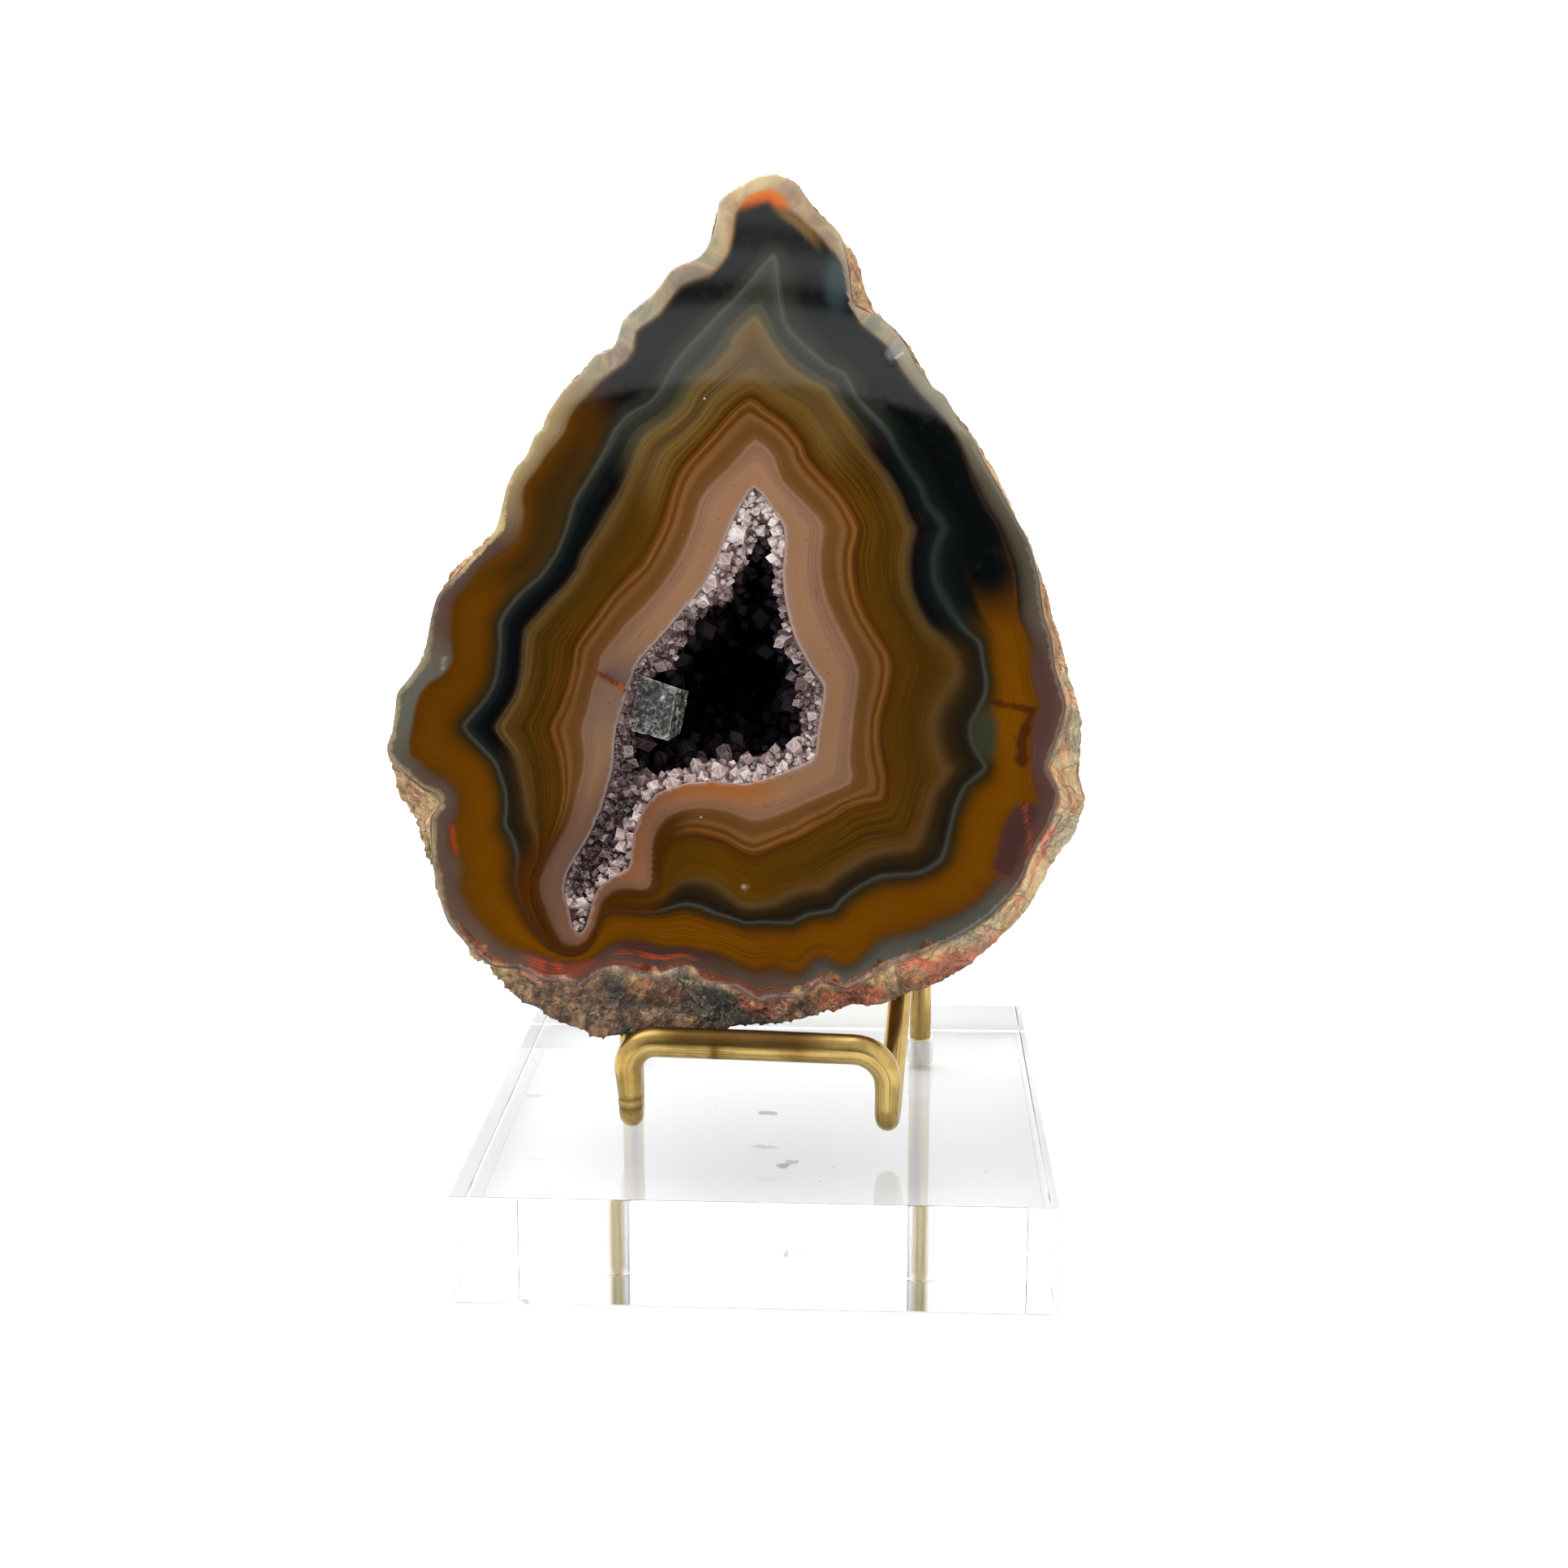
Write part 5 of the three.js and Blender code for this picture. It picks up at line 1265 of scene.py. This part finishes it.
def cube_material():
    s = Surface("grey_cube")
    speck = s.noise(1150, 3, 0.75, 0.6)
    shade = s.ramp(speck, [
        (0.34, (12, 11, 11)), (0.43, (32, 30, 28)), (0.5, (54, 52, 49)),
        (0.57, (82, 81, 77)), (0.63, (134, 134, 128)), (0.7, (214, 216, 210)),
    ])
    cells = {"Vector": s.place, "Scale": 900.0}
    veins = s.node("TexVoronoi", cells, out="Distance", feature="DISTANCE_TO_EDGE")
    broken = s.remap(s.noise(400, 3, 0.6), 0.45, 0.6)
    net = s.times(s.remap(veins, 0.03, 0.12, 1.0, 0.0), broken)
    shade = s.tint(shade, net, 0.35, (150, 152, 146))
    # Painted shade in the deep pits, and painted highlights along the edges.
    shade = s.mix(s.remap(s.attribute("bite"), 0.05, 0.1), shade, colour(14, 12, 13))
    shade = s.tint(shade, s.attribute("edge_highlight"), 0.6, (176, 180, 172))
    soft = s.remap(s.noise(200, 3, 0.6), 0.3, 0.7, 0.7, 1.25)
    shade = s.brighten(shade, soft)
    s.bump(speck, 0.0003, 0.7)
    rough = s.remap(speck, 0.3, 0.7, 0.18, 0.45)
    return s.finish(Base_Color=shade, Roughness=rough, IOR=1.45)


cube_points, cube_faces, cube_bite, cube_edge_highlight = cube_mesh()
piece("grey_cube", to_room(cube_points), cube_faces, cube_material(),
      attributes={"bite": cube_bite, "edge_highlight": cube_edge_highlight})

# ---- the brass wire ----

BLOCK_SIDE = 76.2
BLOCK_HEIGHT = 14.3
WIRE_DIAMETER = 3.18
POST_X = 22.0
POST_Y = 22.9
LEG_X = 16.9
LEG_Y = -23.1
WIRE_FOOT = 1.3
RING_MARKS = (22.2, 20.8)
RING_MARK_WIDTH = 0.22
RING_MARK_DEPTH = 0.09
BAR_THICKENING = 0.4
WIRE_STEP = 0.4
WIRE_END_ROUNDING = 0.25
SIDES = 28
ROUTE = [
    ((-POST_X, POST_Y, WIRE_FOOT), 0),
    ((-POST_X, POST_Y, 62), 7.0),
    ((-LEG_X + 0.4, LEG_Y, 16.2), 2.0),
    ((-LEG_X - 0.2, LEG_Y, 29.85), 3.6),
    ((LEG_X, LEG_Y, 29.05), 4.6),
    ((LEG_X - 0.2, LEG_Y, 16.2), 2.0),
    ((POST_X, POST_Y, 62), 7.0),
    ((POST_X, POST_Y, WIRE_FOOT), 0),
]


def rounded_route(corners, step):
    """Points a step apart along straight runs joined by round bends."""
    line = [np.array(corners[0][0], float)]
    for (before, _), (here, radius), (after, _) in zip(corners, corners[1:], corners[2:]):
        here = np.array(here, float)
        back = np.array(before) - here
        ahead = np.array(after) - here
        back /= np.linalg.norm(back)
        ahead /= np.linalg.norm(ahead)
        half = math.acos(np.clip(back @ ahead, -1, 1)) / 2
        middle = (back + ahead) / np.linalg.norm(back + ahead)
        centre = here + middle * radius / math.sin(half)
        start = here + back * radius / math.tan(half) - centre
        axis = np.cross(-back, ahead)
        axis /= np.linalg.norm(axis)
        sweep = math.pi - 2 * half
        for a in np.linspace(0, sweep, max(6, int(sweep * radius / step))):
            turned_start = start * math.cos(a) + np.cross(axis, start) * math.sin(a)
            line.append(centre + turned_start)
    line.append(np.array(corners[-1][0], float))
    line = np.array(line)
    lengths = np.concatenate([[0], np.cumsum(np.linalg.norm(np.diff(line, axis=0), axis=1))])
    want = np.linspace(0, lengths[-1], int(lengths[-1] / step))
    return np.stack([np.interp(want, lengths, line[:, k]) for k in range(3)], 1), want


def tube(line, radii, sides):
    """A closed round bar along a line, whose rings don't twist."""
    tangents = np.gradient(line, axis=0)
    tangents /= np.linalg.norm(tangents, axis=1)[:, None]
    side = np.cross(tangents[0], [1.0, 0.2, 0.1])
    side /= np.linalg.norm(side)
    points, around = [], []
    for p, tangent, r in zip(line, tangents, radii):
        side = side - tangent * (side @ tangent)
        side /= np.linalg.norm(side)
        other = np.cross(tangent, side)
        for k in range(sides):
            a = 2 * math.pi * k / sides
            points.append(p + r * (math.cos(a) * side + math.sin(a) * other))
            around.append(a)
    faces = []
    for ring in range(len(line) - 1):
        for k in range(sides):
            a = ring * sides + k
            b = ring * sides + (k + 1) % sides
            faces.append((a, b, b + sides, a + sides))
    faces.append(tuple(range(sides))[::-1])
    faces.append(tuple(range((len(line) - 1) * sides, len(line) * sides)))
    return np.array(points), faces, np.array(around)


def brass_material():
    s = Surface("brass")
    streak_place = s.node("CombineXYZ", {
        "X": s.times(s.attribute("cos_round"), 5),
        "Y": s.times(s.attribute("sin_round"), 5),
        "Z": s.times(s.attribute("length_mm"), 0.06),
    })
    streaks = s.noise(1.0, 5, 0.65, vector=streak_place)
    tarnish = s.noise(160, 4, 0.6)
    shade = s.mix(s.remap(tarnish, 0.35, 0.7), colour(186, 158, 96), colour(150, 118, 60))
    shade = s.mix(s.remap(streaks, 0.5, 0.75), shade, colour(110, 84, 42))
    # The top of the bar beneath the stone is painted dark brown: a painted reflection of the dark stone above
    # it, and painted shade under it.
    brown = s.times(s.attribute("brown"), s.remap(streaks, 0.25, 0.6, 1.0, 0.85))
    shade = s.mix(brown, shade, colour(62, 38, 12))
    worn = s.attribute("worn")
    shade = s.tint(shade, worn, 0.75, (88, 58, 24))
    # The legs are painted pale and dull where the frosted holes hold them: painted glare, standing for light
    # that the frosted walls and the gap round the legs scatter over them.
    sunk_glare = s.attribute("sunk_glare")
    shade = s.tint(shade, sunk_glare, 0.85, (240, 224, 174))
    rough = s.remap(streaks, 0.3, 0.75, 0.13, 0.34)
    rough = s.plus(rough, s.times(s.larger(s.larger(worn, sunk_glare), brown), 0.25))
    height = s.plus(s.times(streaks, 0.7), s.times(tarnish, 0.3))
    s.bump(height, 0.0001, 0.5)
    return s.finish(Base_Color=shade, Roughness=rough, Metallic=1.0)


wire_line, wire_length = rounded_route(ROUTE, WIRE_STEP)
wire_z, wire_x = wire_line[:, 2], wire_line[:, 0]
on_front = wire_line[:, 1] < LEG_Y + 0.6
on_left_leg = on_front & (wire_x < -15)
radii = np.full(len(wire_line), WIRE_DIAMETER / 2)
ring_marks = sum(np.exp(-((wire_z - height) / RING_MARK_WIDTH) ** 2) for height in RING_MARKS)
radii += BAR_THICKENING * smoothstep(22, 29, wire_z) * on_front
radii -= RING_MARK_DEPTH * ring_marks * on_left_leg
on_bar = on_front & (wire_z > 28)
dent = np.exp(-((wire_x + 5.6) / 0.5) ** 2) * on_bar
radii[[0, -1]] -= WIRE_END_ROUNDING
wire_points, wire_faces, around = tube(wire_line, radii, SIDES)
worn = (0.35 * span(wire_z, RING_MARKS[1], RING_MARKS[0], 0.15) + ring_marks) * on_left_leg + dent
wear = np.repeat(worn, SIDES)
rise = (wire_points[:, 2] - np.repeat(wire_z, SIDES)) / (WIRE_DIAMETER / 2)
# Where the bar faces up beneath the stone: the painted reflection and shade of the stone above.
brown = smoothstep(-0.1, 0.45, rise) * np.repeat(on_bar * span(wire_x, -13.5, 9, 5), SIDES)
piece("brass_wire", wire_points, wire_faces, brass_material(), replaces="brass_easel",
      attributes={
          "cos_round": np.cos(around), "sin_round": np.sin(around),
          "length_mm": np.repeat(wire_length, SIDES), "worn": np.clip(wear, 0, 1), "brown": brown,
          "sunk_glare": np.repeat(1 - smoothstep(BLOCK_HEIGHT - 0.1, BLOCK_HEIGHT + 0.1, wire_z), SIDES),
      })

# ---- the clear block ----

HOLE_RADIUS = 2.0
HOLE_FLOOR = 1.0
HOLE_SIDES = 64


def square_ring(half, corner, steps=6):
    """A square outline with rounded corners."""
    ring = []
    centre = half - corner
    for k, (sx, sy) in enumerate([(1, 1), (-1, 1), (-1, -1), (1, -1)]):
        for t in np.linspace(0, math.pi / 2, steps):
            a = k * math.pi / 2 + t
            ring.append((sx * centre + corner * math.cos(a), sy * centre + corner * math.sin(a)))
    return np.array(ring)


def block_mesh():
    rings = []
    bevel = 0.12
    for t in np.linspace(0, math.pi / 2, 4):
        rings.append((BLOCK_SIDE / 2 - bevel * (1 - math.sin(t)), bevel * (1 - math.cos(t))))
    rings += [(half, BLOCK_HEIGHT - z) for half, z in rings[::-1]]
    points = []
    faces = []
    outline = square_ring(BLOCK_SIDE / 2, 0.15)
    size = len(outline)
    for half, z in rings:
        ring = outline * (half / (BLOCK_SIDE / 2))
        points += [(px, py, z) for px, py in ring]
    for r in range(len(rings) - 1):
        for i in range(size):
            a, b = r * size + i, r * size + (i + 1) % size
            faces.append((a, b, b + size, a + size))
    faces.append(tuple(range(size))[::-1])
    frost = [0.0] * len(points)
    top = list(range((len(rings) - 1) * size, len(rings) * size))
    flat = [points[i][:2] for i in top]
    edges = [(i, (i + 1) % size) for i in range(size)]
    index = list(top)
    turns = np.arange(HOLE_SIDES) * 2 * math.pi / HOLE_SIDES
    for side in (-1, 1):
        centre = np.array([side * POST_X, POST_Y])
        circle = centre + np.stack([np.cos(turns), np.sin(turns)], 1) * HOLE_RADIUS
        start = len(flat)
        flat += [tuple(p) for p in circle]
        edges += [(start + i, start + (i + 1) % HOLE_SIDES) for i in range(HOLE_SIDES)]
        walls = [(1.0, BLOCK_HEIGHT, 0.2), (0.97, BLOCK_HEIGHT - 0.15, 1.0)]
        walls += [(0.97, z, 1.0) for z in np.linspace(BLOCK_HEIGHT - 1, HOLE_FLOOR + 0.8, 24)]
        walls += [(0.5, HOLE_FLOOR + 0.25, 1.0)]
        base = len(points)
        for scale, z, rough in walls:
            ring = centre + (circle - centre) * scale
            points += [(px, py, z) for px, py in ring]
            frost += [rough] * HOLE_SIDES
        index += list(range(base, base + HOLE_SIDES))
        for r in range(len(walls) - 1):
            for i in range(HOLE_SIDES):
                a = base + r * HOLE_SIDES + i
                b = base + r * HOLE_SIDES + (i + 1) % HOLE_SIDES
                faces.append((b, a, a + HOLE_SIDES, b + HOLE_SIDES))
        points.append((centre[0], centre[1], HOLE_FLOOR))
        frost.append(1.0)
        end = base + (len(walls) - 1) * HOLE_SIDES
        for i in range(HOLE_SIDES):
            faces.append((end + (i + 1) % HOLE_SIDES, end + i, len(points) - 1))
    cut = delaunay_2d_cdt([Vector(p) for p in flat], edges, [], 1, 1e-7)
    where = {new: index[olds[0]] for new, olds in enumerate(cut[3])}
    for f in cut[2]:
        middle = np.mean([cut[0][i][:] for i in f], axis=0)
        holes = [np.hypot(middle[0] - side * POST_X, middle[1] - POST_Y) for side in (-1, 1)]
        if min(holes) > HOLE_RADIUS * 0.99:
            faces.append(tuple(where[i] for i in f))
    return np.array(points), faces, np.array(frost)


TOP = BLOCK_HEIGHT
FRONT = -BLOCK_SIDE / 2
# Smudges and scratches: place in millimetres, reach, stretch to the right and how dark each is. Several
# places were measured on a photo of the block and turned into millimetres by a script.
SMUDGES = [
    (0.6, -8.5, TOP, 1.0, 1.8, 0.7), (3.5, -26.4, TOP, 1.0, 1.1, 0.85), (4.6, -25.2, TOP, 0.8, 1.3, 0.7),
    (0.8, -20.5, TOP, 0.7, 3.4, 0.45), (4.6, FRONT, 7.4, 0.5, 1.1, 0.9), (5.6, FRONT, 7.8, 0.4, 2.4, 0.7),
    (-32.6, -3.7, TOP, 0.9, 2.2, 0.35), (-28.9, FRONT, 0.3, 0.5, 1.3, 0.9),
    (8.4, -31.2, TOP, 0.4, 1.2, 0.4),
]


def acrylic_material():
    s = Surface("acrylic")
    frost = s.attribute("frost")
    smear = s.remap(s.noise(30, 4, 0.6), 0.56, 0.72, 0.0, 0.05)
    rough = s.plus(s.times(frost, 0.45), smear)
    marks = 0.0
    ragged = s.node("TexNoise", {"Scale": 700.0, "Detail": 4.0, "Vector": s.place}, out="Color")
    ragged = s.node("VectorMath", {0: ragged, 1: (0.5, 0.5, 0.5)}, operation="SUBTRACT")
    ragged = s.node("VectorMath", {0: ragged, "Scale": 2.0 * MM}, operation="SCALE")
    torn = s.node("VectorMath", {0: s.place, 1: ragged}, operation="ADD")
    for across, deep, up, reach_mm, stretch, dark in SMUDGES:
        off = s.node("VectorMath", {0: torn, 1: (across * MM, deep * MM, up * MM)}, operation="SUBTRACT")
        off = s.node("VectorMath", {0: off, 1: (1 / stretch, 1, 1)}, operation="MULTIPLY")
        far = s.node("VectorMath", {0: off}, out="Value", operation="LENGTH")
        mark = s.remap(far, 0.6 * reach_mm * MM, reach_mm * MM, dark, 0.0)
        marks = s.larger(marks, mark)
    marks = s.larger(marks, s.dots(300, 0.03, 0.07, 0.5, 0.8))
    shade = s.mix(marks, (1, 1, 1, 1), colour(104, 112, 114))
    rough = s.plus(rough, s.times(marks, 0.4))
    return s.finish(Base_Color=shade, Roughness=rough, IOR=1.49, Transmission_Weight=1.0)


block_points, block_faces, frost = block_mesh()
piece("acrylic_block", block_points, block_faces, acrylic_material(),
      replaces="acrylic_base", attributes={"frost": frost}, flat=True)

# ---- floor, light and camera ----


def floor():
    s = Surface("paper")
    grain = s.noise(900, 2, 0.5)
    shade = s.mix(grain, (0.9, 0.93, 0.935, 1), (0.93, 0.955, 0.96, 1))
    material = s.finish(Base_Color=shade, Roughness=0.9)
    mesh = bpy.data.meshes.new("floor")
    half = 3.0
    corners = [(-half, -half, 0), (half, -half, 0), (half, half, 0), (-half, half, 0)]
    mesh.from_pydata(corners, [], [(0, 1, 2, 3)])
    mesh.materials.append(material)
    result = bpy.data.objects.new("floor", mesh)
    bpy.context.scene.collection.objects.link(result)
    result.location.z = -0.0002


def studio():
    """A white room, dim in front of the stone below a soft bright window."""
    world = bpy.data.worlds.new("studio")
    world.use_nodes = True
    bpy.context.scene.world = world
    s = Nodes(world.node_tree)
    background = s.tree.nodes["Background"]
    direction = s.node("TexCoord", out="Generated")
    x, y, z = s.node("SeparateXYZ", {0: direction}).node.outputs
    aside = s.minus(x, WINDOW_MIDDLE)
    height = s.times_plus(s.times(aside, aside), WINDOW_ARCH, z)
    share = s.node("MapRange", {0: height, 1: WINDOW_FOOT, 2: WINDOW_FOOT + WINDOW_HEIGHT})
    front = s.times(s.remap(s.math("ABSOLUTE", x), 0.42, 0.34), s.remap(z, -0.02, 0.0))
    front = s.times(front, s.remap(y, 0.0, -0.2))
    # The camera itself sees only the white room.
    front = s.times(front, s.minus(1.0, s.node("LightPath", out="Is Camera Ray")))
    panes = s.levels(share, PANES)
    strength = s.node("MapRange", {0: front, 1: 0.0, 2: 1.0, 3: WORLD_LIGHT, 4: panes})
    s.set(background.inputs["Strength"], strength)
    s.set(background.inputs["Color"], (1, 1, 1, 1))


WORLD_LIGHT = 1.4
WINDOW_MIDDLE = -0.062
WINDOW_ARCH = 1.88
WINDOW_FOOT = 0.3675
WINDOW_HEIGHT = 0.1
# How bright the window is above its foot, where a bar and a shade cross it. The steps follow the heights
# of the reflections on the stone, which a script measured on a photo.
PANES = [
    (0, 0.02), (0.03, 0.9), (0.22, 1), (0.32, 0.88), (0.36, 0.2), (0.41, 0.15), (0.46, 0.82), (0.53, 0.95),
    (0.59, 0.42), (0.64, 0.42), (0.69, 0.86), (1, 0.9),
]


def area_light(name, at, towards, size, power):
    data = bpy.data.lights.new(name, "AREA")
    data.shape = "RECTANGLE"
    data.size, data.size_y = size
    data.energy = power
    lamp = bpy.data.objects.new(name, data)
    bpy.context.scene.collection.objects.link(lamp)
    lamp.location = at
    lamp.rotation_euler = (Vector(towards) - Vector(at)).to_track_quat("-Z", "Y").to_euler()


floor()
studio()
area_light("overhead", (-0.35, 0.15, 0.95), (0, 0, 0.05), (0.9, 0.9), 9.0)

# The place, turn and lens of the camera were fitted to a photo of the stand.
CAMERA_PLACE = (0.0151, -0.2815, 0.1245)
CAMERA_HEADING = -2.6
CAMERA_DIP = 13.1
CAMERA_LENS = 48.45
camera_data = bpy.data.cameras.new("camera")
camera_data.lens = CAMERA_LENS
camera_data.sensor_width = 36.0
camera_data.clip_start = 0.01
camera_data.dof.use_dof = False
camera = bpy.data.objects.new("camera", camera_data)
bpy.context.scene.collection.objects.link(camera)
camera.location = CAMERA_PLACE
heading, dip = math.radians(CAMERA_HEADING), math.radians(CAMERA_DIP)
look = Vector((math.sin(heading) * math.cos(dip), math.cos(heading) * math.cos(dip), -math.sin(dip)))
camera.rotation_euler = look.to_track_quat("-Z", "Y").to_euler()
bpy.context.scene.camera = camera
bpy.context.scene.view_settings.view_transform = "Standard"
bpy.context.scene.view_settings.look = "None"
